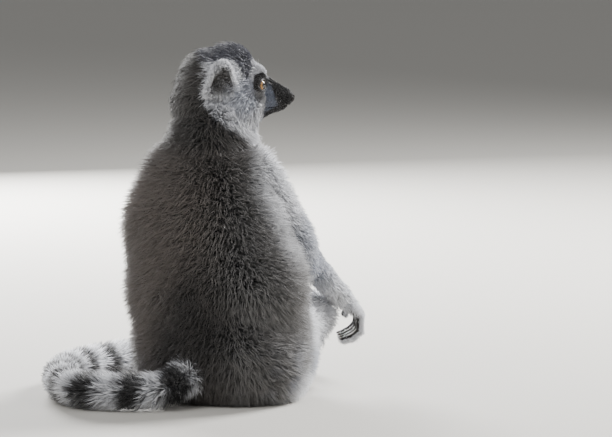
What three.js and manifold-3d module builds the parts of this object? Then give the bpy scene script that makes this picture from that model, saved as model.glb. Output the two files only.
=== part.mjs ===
// Ring-tailed lemur, sitting upright and looking over its right shoulder: a still, life-size
// display model. Millimetres, +Z up. The body faces -Y, so its left is +X. The origin is the
// middle of the rump, where it rests on the floor.
//
// The animal is described as forms: balls and bones of flesh, each with the depth of the coat
// that grows on it. The forms of one part melt into each other, and a wrap is drawn round them
// out to the coat's tips. Each wrap is then trimmed by its neighbours, so the parts meet with a
// hair's breadth between them.
import * as THREE from 'three';
import { ParametricGeometry } from 'three/addons/geometries/ParametricGeometry.js';
import { mergeVertices } from 'three/addons/utils/BufferGeometryUtils.js';
import Module from 'manifold-3d';

const wasm = await Module();
wasm.setup();

// ---- Driving dimensions -----------------------------------------------------------------

const GAP = 0.3; // clearance between neighbouring parts

const BONES = { upperArm: 82, forearm: 100, thigh: 144, shank: 122 };
const FOOT_LENGTH = 82; // heel to the roots of the toes
const SHOULDER = { x: 42, y: -16, z: 230 }; // from the middle of the back to either side
const LEAN = 20; // how far the shoulders lean to the animal's left
const HIP = { x: 36, y: 24, z: 50 };
const HEAD_CENTRE = new THREE.Vector3(12, -15, 324);
const HEAD_TURN = -50; // degrees: the head looks to the animal's right
const HEAD_ROLL = 4; // degrees: the left ear is carried higher
const EYE_RADIUS = 7.6;

// Depth of the coat, from the skin to the tips.
const COAT = { back: 24, neck: 17, upperArm: 12, forearm: 6, thigh: 15, shank: 9, paw: 2.5, tail: 13 };

// Turn is measured from straight ahead towards the animal's left, rise from the level.
const ARMS = {
  right: {
    side: -1,
    upperArm: { turn: -35, rise: -59 },
    forearm: { turn: -18, rise: -41 },
    hand: { turn: -41, rise: -43 },
    back: { turn: -63, rise: 45 },
    curl: [48, 48, 22],
  },
  left: {
    side: 1,
    upperArm: { turn: 22, rise: -57 },
    forearm: { turn: -14, rise: -40 },
    hand: { turn: -15, rise: -36 },
    back: { turn: -15, rise: 54 },
    curl: [38, 40, 20],
  },
};
const LEGS = {
  right: { side: -1, thigh: { turn: -3, rise: 10.8 }, shank: { turn: -179, rise: -29 }, footTurn: 12 },
  left: { side: 1, thigh: { turn: 4, rise: 10.8 }, shank: { turn: 180, rise: -29 }, footTurn: 4 },
};


// The tail lies on the floor along an arc round a middle, on a narrow flat.
const TAIL = { flesh: 7, lengths: 6, sweep: 165, middle: { x: 14, y: -15 }, flat: 0.8 };

const COLOURS = {
  grey: 0x6f6963, dark: 0x46433f, pale: 0xb9b6b0, white: 0xdcd9d2,
  leather: 0x1b191a, amber: 0xb5651d, band: 0x232020,
};

// ---- Places -----------------------------------------------------------------------------

const vector = (x, y, z) => new THREE.Vector3(x, y, z);
const radians = THREE.MathUtils.degToRad;

/** Unit vector at a turn from straight ahead (-Y) towards the left, and a rise from the level. */
function heading({ turn, rise }) {
  const level = Math.cos(radians(rise));
  return vector(Math.sin(radians(turn)) * level, -Math.cos(radians(turn)) * level, Math.sin(radians(rise)));
}

/** The point a bone's length away from another along a heading. */
const reach = (from, length, towards) => from.clone().addScaledVector(heading(towards), length);

/** Rotation whose axes are: x along the part, z close to the given back, y across it. */
function basisOf(along, back) {
  const across = back.clone().cross(along).normalize();
  const up = along.clone().cross(across).normalize();
  return new THREE.Quaternion().setFromRotationMatrix(new THREE.Matrix4().makeBasis(along, across, up));
}

/** A frame of its own: at(x, y, z) gives the place of a point measured inside it. */
function frameAt(origin, turned) {
  return { turned, at: (x, y, z) => vector(x, y, z).applyQuaternion(turned).add(origin) };
}

// ---- Forms ------------------------------------------------------------------------------

/** An ellipsoid of flesh with its own coat; a frame turns its radii. */
function ball(centre, radii, coat = 0, frame = null) {
  const grown = vector(...radii).addScalar(coat);
  const unturned = frame ? frame.turned.clone().invert() : null;
  return (point) => {
    const local = point.clone().sub(centre);
    if (unturned) local.applyQuaternion(unturned);
    const nearness = local.clone().divide(grown).length();
    const slope = local.clone().divide(grown).divide(grown).length();
    return slope > 0 ? (nearness * (nearness - 1)) / slope : -Math.min(...grown);
  };
}

/** A round bone of flesh that tapers from one joint to the next. */
function bone(from, to, fromRadius, toRadius, coat = 0) {
  const along = to.clone().sub(from);
  const length = along.length();
  return (point) => {
    const share = THREE.MathUtils.clamp(point.clone().sub(from).dot(along) / length ** 2, 0, 1);
    const nearest = from.clone().addScaledVector(along, share);
    return point.distanceTo(nearest) - THREE.MathUtils.lerp(fromRadius, toRadius, share) - coat;
  };
}

/** Forms melted together: distances within `blend` of each other share a fillet. */
function melt(blend, ...forms) {
  return (point) => forms.map((form) => form(point)).reduce((near, far) => {
    const overlap = Math.max(blend - Math.abs(near - far), 0) / blend;
    return Math.min(near, far) - (overlap ** 2 * blend) / 4;
  });
}

/** How far out along a ray the form ends: marched out to, then halved down to. */
function edgeOf(form, from, towards, grow) {
  const CAUTION = 0.6; // share of the depth that one march may take
  const LEAST_STEP = 0.5;
  const HALVINGS = 12;
  const probe = vector();
  const depthAt = (far) => form(probe.copy(from).addScaledVector(towards, far)) - grow;
  let inside = 0;
  let outside = 0;
  for (let depth = depthAt(0); depth < 0; depth = depthAt(outside)) {
    inside = outside;
    outside += Math.max(-CAUTION * depth, LEAST_STEP);
  }
  for (let pass = 0; pass < HALVINGS; pass += 1) {
    const middle = (inside + outside) / 2;
    if (depthAt(middle) < 0) inside = middle;
    else outside = middle;
  }
  return (inside + outside) / 2;
}

/**
 * A closed surface round a form, drawn by rays from a spine inside it: square to the spine along
 * its length, and fanned out round each end of it.
 */
function wrap(form, spine, { rings, sides, grow = 0, upright = vector(0, 0, 1) }) {
  const CAP = 0.28; // share of the rings that close each end
  return new ParametricGeometry((around, along, target) => {
    const share = THREE.MathUtils.clamp((along - CAP) / (1 - 2 * CAP), 0, 1);
    const nearEnd = Math.max(CAP - along, 0) / CAP;
    const farEnd = Math.max(along - 1 + CAP, 0) / CAP;
    const tilt = (farEnd - nearEnd) * (Math.PI / 2);
    const turn = (around % 1) * Math.PI * 2;
    const from = spine.getPointAt(share);
    const ahead = spine.getTangentAt(share);
    const across = ahead.clone().cross(upright).normalize();
    const up = across.clone().cross(ahead);
    const ray = across.multiplyScalar(Math.cos(turn)).addScaledVector(up, -Math.sin(turn));
    ray.multiplyScalar(Math.cos(tilt)).addScaledVector(ahead, Math.sin(tilt)).normalize();
    target.copy(from).addScaledVector(ray, edgeOf(form, from, ray, grow));
  }, sides, rings);
}

const line = (from, to) => new THREE.LineCurve3(from, to);

// ---- Solids -----------------------------------------------------------------------------

/** A geometry as a solid: shared corners merged and collapsed faces dropped. */
function solidOf(geometry) {
  const bare = geometry.clone();
  bare.deleteAttribute('normal');
  bare.deleteAttribute('uv');
  const merged = mergeVertices(bare, 1e-3);
  const faces = [];
  for (let corner = 0; corner < merged.index.count; corner += 3) {
    const face = [0, 1, 2].map((step) => merged.index.getX(corner + step));
    if (new Set(face).size === 3) faces.push(...face);
  }
  return new wasm.Manifold(new wasm.Mesh({
    numProp: 3,
    vertProperties: new Float32Array(merged.attributes.position.array),
    triVerts: new Uint32Array(faces),
  }));
}

/** The largest piece of a solid, without the slivers that a trim can leave. */
function whole(solid) {
  return solid.decompose().reduce((best, next) => (next.volume() > best.volume() ? next : best));
}

const trimmed = (solid, ...cutters) => whole(cutters.reduce((rest, cutter) => rest.subtract(cutter), solid));

const FLOOR = solidOf(new THREE.BoxGeometry(900, 900, 100).translate(0, 0, -50)); // top at Z 0

/** A part: its solid, and the same solid grown by the gap, which trims its neighbours. */
function part(form, spine, grid) {
  return {
    solid: solidOf(wrap(form, spine, grid)),
    room: solidOf(wrap(form, spine, { ...grid, grow: GAP })),
  };
}

const model = new THREE.Group();

function place(name, solid, colour, roughness = 0.9) {
  const mesh = solid.getMesh();
  const geometry = new THREE.BufferGeometry();
  geometry.setAttribute('position', new THREE.BufferAttribute(mesh.vertProperties, 3));
  geometry.setIndex(new THREE.BufferAttribute(mesh.triVerts, 1));
  geometry.computeVertexNormals();
  const material = new THREE.MeshStandardMaterial({ color: colour, roughness, metalness: 0 });
  const node = new THREE.Mesh(geometry, material);
  node.name = name;
  model.add(node);
}

// ---- Trunk and neck ---------------------------------------------------------------------

function makeTrunk() {
  const pelvis = ball(vector(0, 8, 52), [60, 54, 50], COAT.back);
  const belly = ball(vector(LEAN * 0.35, 5, 112), [79, 55, 68], COAT.back);
  const chest = ball(vector(LEAN * 1.1, 6, 178), [69, 43, 56], COAT.back);
  const withers = ball(vector(LEAN, -1, 230), [47, 35, 26], COAT.back);
  return part(melt(26, pelvis, belly, chest, withers), line(vector(2, 8, 52), vector(LEAN, 0, 225)), {
    rings: 18, sides: 21, upright: vector(0, 1, 0),
  });
}

function makeNeck() {
  const base = vector(LEAN, -4, 234);
  const top = vector(17, -6, 275);
  return part(bone(base, top, 36, 31, COAT.neck), line(base, top), {
    rings: 8, sides: 14, upright: vector(0, 1, 0),
  });
}

// ---- Head -------------------------------------------------------------------------------

/** The head's own frame: x forward to the nose, y to its left, z to the crown. */
function headFrame() {
  const ahead = heading({ turn: HEAD_TURN, rise: 0 });
  const crown = vector(0, 0, 1).applyAxisAngle(ahead, radians(HEAD_ROLL));
  return frameAt(HEAD_CENTRE, basisOf(ahead, crown));
}

const HEAD = headFrame();

function makeHead() {
  const middle = (x, z, radii, coat) => [ball(HEAD.at(x, 0, z), radii, coat, HEAD)];
  const pair = (x, y, z, radii, coat) => (
    [1, -1].map((side) => ball(HEAD.at(x, side * y, z), radii, coat, HEAD))
  );
  const cranium = middle(-1, 2, [31, 26, 26], 10);
  const crown = middle(15, 14, [14, 17, 17], 6);
  const nape = middle(-19, -19, [22, 26, 22], 11);
  const cheeks = pair(9, 17, -27, [21, 13, 18], 10);
  const jowls = pair(12, 12, -32, [13, 11, 11], 10);
  const cheekbones = pair(14, 13, -9, [24, 12, 15], 3);
  const skull = melt(14, ...cranium, ...crown, ...nape, ...cheeks, ...jowls, ...cheekbones);

  const brows = pair(34, 12, 10, [10, 8, 7], 0.5);
  const orbits = pair(31.5, 15.5, 0, [9, 9, 9], 0);
  const bridge = bone(HEAD.at(44, 0, -0.6), HEAD.at(68, 0, -14.7), 6, 5, 0.5);
  const lips = pair(58, 4.5, -20, [11, 6, 7], 1);
  const muzzle = bone(HEAD.at(32, 0, -14), HEAD.at(65, 0, -18), 17, 7.8, 1);
  const jaw = bone(HEAD.at(33, 0, -30), HEAD.at(60, 0, -25), 10, 5, 1);
  const face = melt(5, ...brows, ...orbits, bridge, ...lips, muzzle, jaw);

  const spine = line(HEAD.at(-22, 0, 2), HEAD.at(56, 0, -16));
  return part(melt(12, skull, face), spine, { rings: 21, sides: 19 });
}

/** An eyeball, and the cut that parts the lids and the coat in front of it. */
function makeEye(side) {
  const centre = HEAD.at(33.5, side * 18, -1);
  const ahead = HEAD.at(43.5, side * 26, -1);
  const globe = ball(centre, [EYE_RADIUS, EYE_RADIUS, EYE_RADIUS]);
  const opening = bone(centre, ahead, EYE_RADIUS - 1.2, EYE_RADIUS + 1);
  const { solid, room } = part(globe, line(centre, centre.clone().lerp(ahead, 0.25)), { rings: 6, sides: 9 });
  return { solid, room, lids: part(opening, line(centre, ahead), { rings: 4, sides: 8 }).solid };
}

function makeNose() {
  const centre = HEAD.at(70.8, 0, -17);
  const pad = ball(centre, [5.5, 6.5, 6], 0, HEAD);
  return part(pad, line(centre, HEAD.at(71.3, 0, -17)), { rings: 6, sides: 8 });
}

/** A cupped ear: a leaf of flesh and fringe with the shell hollowed out of its open face. */
function makeEar(side) {
  const base = HEAD.at(-8, side * 31, -17);
  const tip = HEAD.at(-9, side * 45, 28);
  const open = HEAD.at(0.2, side * 0.95, -0.15).sub(HEAD.at(0, 0, 0)).normalize();
  const along = tip.clone().sub(base).normalize();
  const leaf = frameAt(base.clone().lerp(tip, 0.5), basisOf(along, open));
  const spine = line(leaf.at(-6, 0, 0), leaf.at(6, 0, 0));
  const grid = { rings: 8, sides: 10, upright: open };
  const top = ball(leaf.at(4, 0, 0), [20, 14, 9], 0, leaf);
  const lobe = ball(leaf.at(-8, 0, 0), [15, 18, 9], 0, leaf);
  const outer = part(melt(6, top, lobe), spine, grid);
  const bowlSpine = line(leaf.at(-6, 0, 7), leaf.at(6, 0, 7));
  const bowlTop = ball(leaf.at(4, 0, 7), [15, 10, 10], 0, leaf);
  const bowlLobe = ball(leaf.at(-7, 0, 7), [12, 14, 10], 0, leaf);
  const bowl = part(melt(6, bowlTop, bowlLobe), bowlSpine, grid);
  return { solid: outer.solid.subtract(bowl.solid), room: outer.room };
}

// ---- Arms and hands ---------------------------------------------------------------------

/** A curled digit: short tapering bones end to end, each turned further towards the palm. */
function digitOf(limb, root, splay, lengths, radius, curl) {
  const TAPER = 0.86;
  const sideways = radians(splay);
  let bend = 0;
  const joints = [vector(...root)];
  lengths.forEach((length, index) => {
    bend += radians(curl[index]);
    const level = Math.cos(bend) * length;
    joints.push(joints[index].clone().add(
      vector(Math.cos(sideways) * level, Math.sin(sideways) * level, -Math.sin(bend) * length),
    ));
  });
  const places = joints.map(({ x, y, z }) => limb.at(x, y, z));
  const bones = places.slice(1).map((to, index) => (
    bone(places[index], to, radius, radius * TAPER, COAT.paw / 2)
  ));
  const spine = new THREE.CatmullRomCurve3(places);
  const up = limb.at(0, 0, 1).sub(limb.at(0, 0, 0));
  return part(melt(2, ...bones), spine, { rings: 6, sides: 5, upright: up });
}

function joined(parts) {
  return {
    solid: parts.map(({ solid }) => solid).reduce((all, next) => all.add(next)),
    room: parts.map(({ room }) => room).reduce((all, next) => all.add(next)),
  };
}

function makeHand(arm, wrist) {
  const limb = frameAt(wrist, basisOf(heading(arm.hand), heading(arm.back)));
  const palm = melt(
    6,
    bone(limb.at(-6, 0, 0), limb.at(8, 0, 0), 6.5, 6.5, COAT.paw + 1),
    ball(limb.at(18, 0, 0), [14, 11.5, 5.5], COAT.paw, limb),
  );
  const spine = line(limb.at(-4, 0, 0), limb.at(23, 0, 0));
  const palmPart = part(palm, spine, { rings: 7, sides: 8, upright: heading(arm.back) });
  const fingers = [-9, -3, 3, 9].map((across, index) => {
    const root = [27.5, -arm.side * across, -0.5];
    return digitOf(limb, root, -arm.side * across * 1.6, [15, 11, 9 - index * 0.3], 3.4, arm.curl);
  });
  const thumb = digitOf(limb, [12, -arm.side * 9, -2], -arm.side * 48, [13, 10], 3.6, [20, 25]);
  return joined([palmPart, ...fingers, thumb]);
}

function makeArm(arm) {
  const shoulder = vector(LEAN + arm.side * SHOULDER.x, SHOULDER.y, SHOULDER.z);
  const elbow = reach(shoulder, BONES.upperArm, arm.upperArm);
  const wrist = reach(elbow, BONES.forearm, arm.forearm);
  const upperForm = bone(shoulder, elbow, 18, 11.5, COAT.upperArm);
  const muscle = elbow.clone().lerp(wrist, 0.32).add(vector(0, 5, -6));
  const foreForm = melt(
    5,
    bone(elbow, wrist, 10.5, 6.5, COAT.forearm),
    ball(muscle, [12, 14, 12], COAT.forearm),
  );
  return {
    upperArm: part(upperForm, line(shoulder, elbow), { rings: 8, sides: 10 }),
    forearm: part(foreForm, line(elbow, wrist), { rings: 9, sides: 10 }),
    hand: makeHand(arm, wrist),
  };
}

// ---- Legs and feet ----------------------------------------------------------------------

function makeFoot({ side, footTurn }, ankle) {
  const heel = vector(ankle.x, ankle.y + 12, 0);
  const sole = frameAt(heel, basisOf(heading({ turn: footTurn, rise: 0 }), vector(0, 0, 1)));
  const form = melt(
    8,
    ball(sole.at(0, 0, 9), [9, 8.5, 8], COAT.paw + 1, sole),
    bone(sole.at(6, 0, 9.5), sole.at(FOOT_LENGTH * 0.66, 0, 8), 7.5, 6.5, COAT.paw + 1),
    ball(sole.at(FOOT_LENGTH * 0.84, 0, 6.5), [19, 13, 5.5], COAT.paw, sole),
  );
  const spine = line(sole.at(0, 0, 8), sole.at(FOOT_LENGTH * 0.92, 0, 6.5));
  const body = part(form, spine, { rings: 8, sides: 8 });
  const toes = [-10, -3.5, 3.5, 10].map((across, index) => digitOf(
    sole, [FOOT_LENGTH, -side * across, 5], -side * across * 1.1, [13, 11, 8 - index * 0.4], 3.5, [6, 0, 12],
  ));
  const bigToe = digitOf(sole, [FOOT_LENGTH * 0.7, -side * 11, 5.5], -side * 36, [17, 15], 4.4, [2, 2]);
  return joined([body, ...toes, bigToe]);
}

function makeLeg(leg) {
  const hip = vector(leg.side * HIP.x, HIP.y, HIP.z);
  const knee = reach(hip, BONES.thigh, leg.thigh);
  const ankle = reach(knee, BONES.shank, leg.shank);
  const haunch = vector(leg.side * (HIP.x + 12), HIP.y - 30, HIP.z - 14);
  const fold = vector(haunch.x, haunch.y - 42, haunch.z + 4);
  const thighForm = melt(
    14,
    bone(hip, knee, 30, 9, COAT.thigh),
    ball(haunch, [26, 42, 30], COAT.thigh),
    ball(fold, [12, 28, 20], COAT.thigh),
  );
  const calf = ball(knee.clone().lerp(ankle, 0.3), [13, 16, 13], COAT.shank);
  const shankForm = melt(6, bone(knee, ankle, 12, 8, COAT.shank), calf);
  return {
    thigh: part(thighForm, line(hip, knee), { rings: 11, sides: 12 }),
    shank: part(shankForm, line(knee, ankle), { rings: 8, sides: 10 }),
    foot: makeFoot(leg, ankle),
  };
}

// ---- Tail -------------------------------------------------------------------------------

/** The tail's middle line: down from the rump, then round the animal's left to its front. */
function tailSpine() {
  const rest = TAIL.flesh + COAT.tail - TAIL.flat;
  const points = [vector(0, 40, 44), vector(3, 76, 31), vector(20, 110, rest + 2)];
  const arc = { first: 62, last: -88, step: 25 };
  for (let angle = arc.first; angle >= arc.last; angle -= arc.step) {
    points.push(vector(
      TAIL.middle.x + TAIL.sweep * Math.cos(radians(angle)),
      TAIL.middle.y + TAIL.sweep * Math.sin(radians(angle)),
      rest,
    ));
  }
  return new THREE.CatmullRomCurve3(points);
}

function makeTail() {
  const spine = tailSpine();
  const steps = 40;
  const links = [];
  for (let step = 0; step < steps; step += 1) {
    const from = spine.getPointAt(step / steps);
    const to = spine.getPointAt((step + 1) / steps);
    links.push(bone(from, to, TAIL.flesh, TAIL.flesh, COAT.tail));
  }
  return { ...part(melt(2, ...links), spine, { rings: 34, sides: 9 }), spine };
}

/** The tail in its lengths, from the root on, parted by thin cuts square to its middle line. */
function partedTail(tail, spine) {
  const REACH = 90; // of a cut, across the tail
  const facing = new THREE.Quaternion();
  let rest = tail;
  for (let cut = 1; cut < TAIL.lengths; cut += 1) {
    const share = cut / TAIL.lengths;
    facing.setFromUnitVectors(vector(1, 0, 0), spine.getTangentAt(share));
    const slab = new THREE.BoxGeometry(GAP, REACH, REACH).applyQuaternion(facing);
    const { x, y, z } = spine.getPointAt(share);
    rest = rest.subtract(solidOf(slab.translate(x, y, z)));
  }
  const bearing = (solid) => {
    const { min, max } = solid.boundingBox();
    return Math.atan2((min[1] + max[1]) / 2 - TAIL.middle.y, (min[0] + max[0]) / 2 - TAIL.middle.x);
  };
  return rest.decompose().sort((a, b) => bearing(b) - bearing(a));
}

// ---- Assembly ---------------------------------------------------------------------------

const trunk = makeTrunk();
const head = makeHead();
const neck = makeNeck();
const nose = makeNose();
const tail = makeTail();
const eyes = { left: makeEye(1), right: makeEye(-1) };
const legs = { left: makeLeg(LEGS.left), right: makeLeg(LEGS.right) };

place('trunk', trimmed(trunk.solid, FLOOR), COLOURS.grey);
place('neck', trimmed(neck.solid, trunk.room, head.room), COLOURS.dark);
const sockets = Object.values(eyes).flatMap(({ room, lids }) => [room, lids]);
place('head', trimmed(head.solid, nose.room, trunk.room, ...sockets), COLOURS.pale);
place('nose', nose.solid, COLOURS.leather, 0.45);

for (const [name, pose] of Object.entries(ARMS)) {
  place(`eye_${name}`, eyes[name].solid, COLOURS.amber, 0.08);
  place(`ear_${name}`, trimmed(makeEar(pose.side).solid, head.room, neck.room), COLOURS.white);

  const { thigh, shank, foot } = legs[name];
  place(`thigh_${name}`, trimmed(thigh.solid, shank.room, foot.room, trunk.room, FLOOR), COLOURS.grey);
  place(`shank_${name}`, trimmed(shank.solid, foot.room, trunk.room, FLOOR), COLOURS.pale);
  place(`foot_${name}`, trimmed(foot.solid, trunk.room, FLOOR), COLOURS.pale);

  const { upperArm, forearm, hand } = makeArm(pose);
  place(`upper_arm_${name}`, trimmed(upperArm.solid, trunk.room, neck.room), COLOURS.grey);
  place(`forearm_${name}`, trimmed(forearm.solid, upperArm.room, trunk.room, thigh.room), COLOURS.pale);
  place(`hand_${name}`, trimmed(hand.solid, forearm.room, thigh.room, shank.room), COLOURS.white);
}

const freeTail = trimmed(tail.solid, trunk.room, legs.left.thigh.room, legs.right.thigh.room, FLOOR);
partedTail(freeTail, tail.spine).forEach((length, index) => {
  place(`tail_${index + 1}`, length, index % 2 ? COLOURS.white : COLOURS.band);
});

export default model;
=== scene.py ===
"""Ring-tailed lemur, sitting upright and looking over its right shoulder.

The flesh is described by balls and bones, the same as the solids but without the depth of the
coat, and is drawn as one skin. The coat grows out of that skin in solid tufts, out to the solids'
own outline. Eyes, nose, nails and whiskers are pieces of their own. Lengths are in millimetres
in the frame of the solids, and become metres where a mesh is made.
"""
from __future__ import annotations

import enum
import logging
import math
from dataclasses import dataclass, field
from typing import Any, Iterable, Sequence, Union

import bmesh
import bpy
import numpy as np
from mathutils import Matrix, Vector


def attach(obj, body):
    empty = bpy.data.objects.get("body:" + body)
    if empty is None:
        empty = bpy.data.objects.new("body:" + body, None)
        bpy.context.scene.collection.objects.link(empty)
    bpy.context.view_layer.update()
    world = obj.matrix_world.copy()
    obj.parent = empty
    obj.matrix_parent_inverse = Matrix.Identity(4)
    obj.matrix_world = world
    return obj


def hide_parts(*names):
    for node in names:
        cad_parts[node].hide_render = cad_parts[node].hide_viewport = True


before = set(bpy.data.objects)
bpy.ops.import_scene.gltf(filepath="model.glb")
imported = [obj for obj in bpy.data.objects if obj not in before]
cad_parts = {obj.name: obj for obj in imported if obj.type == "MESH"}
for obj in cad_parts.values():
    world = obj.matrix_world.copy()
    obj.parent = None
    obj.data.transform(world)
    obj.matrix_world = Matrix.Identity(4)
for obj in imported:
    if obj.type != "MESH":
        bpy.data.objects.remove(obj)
LOG = logging.getLogger("lemur")

Array = np.ndarray
Triple = Union[Array, Sequence[float]]
MM = 0.001
FAR = 1.0e3
UP = (0.0, 0.0, 1.0)
BODY = "root"

# Driving dimensions, millimetres and degrees.
UPPER_ARM, FOREARM, THIGH, SHANK = 82.0, 100.0, 144.0, 122.0
FOOT_LENGTH = 82.0
LEAN = 20.0
SHOULDER = (42.0, -16.0, 230.0)
HIP = (36.0, 24.0, 50.0)
HEAD_CENTRE = (12.0, -15.0, 324.0)
HEAD_TURN, HEAD_ROLL = -50.0, 4.0
EYE_RADIUS = 7.6
EYE_PLACE = (33.5, 18.0, -1.0)
NOSE_PLACE = (70.8, 0.0, -17.0)
FACE_PLACE = (38.0, 0.0, -8.0)


class Side(enum.IntEnum):
    """The animal's own left and right; the value is the sign of X."""

    RIGHT = -1
    LEFT = 1

    @property
    def word(self) -> str:
        """The word that the node names end in."""
        return self.name.lower()


class Hue(enum.Enum):
    """Colours of the coat and of bare skin, as sRGB hex."""

    WHITE = 0xE6E7EC
    # Painted shade: the face's white as it looks in shade, used on the cheeks.
    MIST = 0xBCC1CF
    PALE = 0xA6AAB6
    SILVER = 0x838A9C
    STEEL = 0x7D8495
    GREY = 0x7A7877
    BROWN = 0x746C67
    SHADE = 0x44413F
    SLATE = 0x595A64
    DARK = 0x343130
    BLACK = 0x141214
    LEATHER = 0x23201F


# ---- Small tools ------------------------------------------------------------------------


def linear(colour: int) -> Array:
    """Turns an sRGB hex colour into linear light.

    Args:
        colour: The colour as 0xRRGGBB.

    Returns:
        Red, green and blue from 0 to 1.
    """
    srgb = np.array([(colour >> shift & 255) / 255 for shift in (16, 8, 0)])
    return np.where(srgb <= 0.04045, srgb / 12.92, ((srgb + 0.055) / 1.055) ** 2.4)


def unit(vectors: Array) -> Array:
    """Scales vectors to length one."""
    return vectors / np.maximum(np.linalg.norm(vectors, axis=-1, keepdims=True), 1e-9)


def ramp(value: Array, start: float, end: float) -> Array:
    """Eases from 0 at start to 1 at end; start may be the larger one."""
    share = np.clip((value - start) / (end - start), 0.0, 1.0)
    return share * share * (3.0 - 2.0 * share)


def smooth_min(first: Array, second: Array, blend: float) -> Array:
    """The smaller of two distances, with a fillet where they are within the blend."""
    overlap = np.maximum(blend - np.abs(first - second), 0.0) / blend
    return np.minimum(first, second) - overlap * overlap * blend / 4.0


def smooth_max(first: Array, second: Array, blend: float) -> Array:
    """The larger of two distances, with the edge between them rounded over the blend."""
    return -smooth_min(-first, -second, blend)


def heading(turn: float, rise: float) -> Array:
    """Unit vector at a turn from straight ahead (-Y) to the left, and a rise from the level."""
    t, r = math.radians(turn), math.radians(rise)
    return np.array([math.sin(t) * math.cos(r), -math.cos(t) * math.cos(r), math.sin(r)])


def ripple(points: Array, wavelength: float, seed: int) -> Array:
    """Smooth seeded noise.

    Args:
        points: Places, one in a row.
        wavelength: Typical distance from crest to crest.
        seed: Picks the pattern.

    Returns:
        A value from about -1 to 1 for each point.
    """
    waves = 9
    source = np.random.default_rng(seed)
    ways = unit(source.normal(size=(waves, 3)))
    ways *= 2.0 * math.pi / wavelength * source.uniform(0.55, 1.7, (waves, 1))
    phases = source.uniform(0.0, 2.0 * math.pi, waves)
    return np.sin(points @ ways.T + phases).mean(axis=1) * 2.0


@dataclass(frozen=True)
class Place:
    """A frame of its own: an origin, and axes as the columns of a matrix."""

    origin: Array
    axes: Array

    @staticmethod
    def facing(origin: Sequence[float], along: Array, back: Array) -> "Place":
        """A place whose x runs along the part and whose z is close to the given back."""
        across = unit(np.cross(back, along))
        return Place(np.asarray(origin, float), np.stack([along, across, np.cross(along, across)], axis=1))

    def at(self, *offset: float) -> Array:
        """The point at an offset measured inside this place."""
        return self.origin + self.axes @ np.asarray(offset, float)

    def local(self, points: Array) -> Array:
        """Points as offsets inside this place."""
        return (points - self.origin) @ self.axes

    def way(self, *offset: float) -> Array:
        """A direction given inside this place."""
        return unit(self.axes @ np.asarray(offset, float))


# ---- Forms ------------------------------------------------------------------------------


class Form:
    """Anything that knows how far a point is from its surface, below zero inside."""

    def distance(self, points: Array) -> Array:
        """How far each point is from the surface."""
        raise NotImplementedError

    def box(self) -> tuple[Array, Array]:
        """Lowest and highest corner."""
        raise NotImplementedError


@dataclass(frozen=True)
class Ball(Form):
    """An ellipsoid."""

    centre: Triple
    radii: Triple
    axes: Array = field(default_factory=lambda: np.eye(3))

    def distance(self, points: Array) -> Array:
        """How far each point is from the surface."""
        scaled = ((points - self.centre) @ self.axes) / self.radii
        near = np.linalg.norm(scaled, axis=1)
        slope = np.linalg.norm(scaled / self.radii, axis=1)
        return near * (near - 1.0) / np.maximum(slope, 1e-6)

    def box(self) -> tuple[Array, Array]:
        """Lowest and highest corner."""
        half = np.sqrt(((self.axes * self.radii) ** 2).sum(axis=1))
        return self.centre - half, self.centre + half


@dataclass(frozen=True)
class Bone(Form):
    """A round bone that tapers from one end to the other."""

    start: Triple
    end: Triple
    start_radius: float = 1.0
    end_radius: float = 1.0

    def share(self, points: Array) -> Array:
        """How far along the bone each point lies, 0 to 1."""
        along = np.subtract(self.end, self.start)
        return np.clip((points - self.start) @ along / (along @ along), 0.0, 1.0)

    def offset(self, points: Array) -> Array:
        """The way to each point from the nearest place on the bone's middle line."""
        return points - self.start - self.share(points)[:, None] * np.subtract(self.end, self.start)

    def distance(self, points: Array) -> Array:
        """How far each point is from the surface."""
        share = self.share(points)
        nearest = self.start + share[:, None] * np.subtract(self.end, self.start)
        radius = self.start_radius + share * (self.end_radius - self.start_radius)
        return np.linalg.norm(points - nearest, axis=1) - radius

    def box(self) -> tuple[Array, Array]:
        """Lowest and highest corner."""
        places = np.array([self.start, self.end])
        radii = np.array([[self.start_radius], [self.end_radius]])
        return (places - radii).min(axis=0), (places + radii).max(axis=0)


@dataclass(frozen=True)
class Melt(Form):
    """Forms that share a fillet where they are within the blend of each other."""

    blend: float
    forms: tuple[Form, ...]

    def distance(self, points: Array) -> Array:
        """How far each point is from the surface."""
        whole = self.forms[0].distance(points)
        for form in self.forms[1:]:
            whole = smooth_min(whole, form.distance(points), self.blend)
        return whole

    def box(self) -> tuple[Array, Array]:
        """Lowest and highest corner."""
        boxes = [form.box() for form in self.forms]
        return np.min([low for low, _ in boxes], axis=0), np.max([high for _, high in boxes], axis=0)


def melt(blend: float, *forms: Form) -> Melt:
    """Melts forms together."""
    return Melt(blend, tuple(forms))


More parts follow.
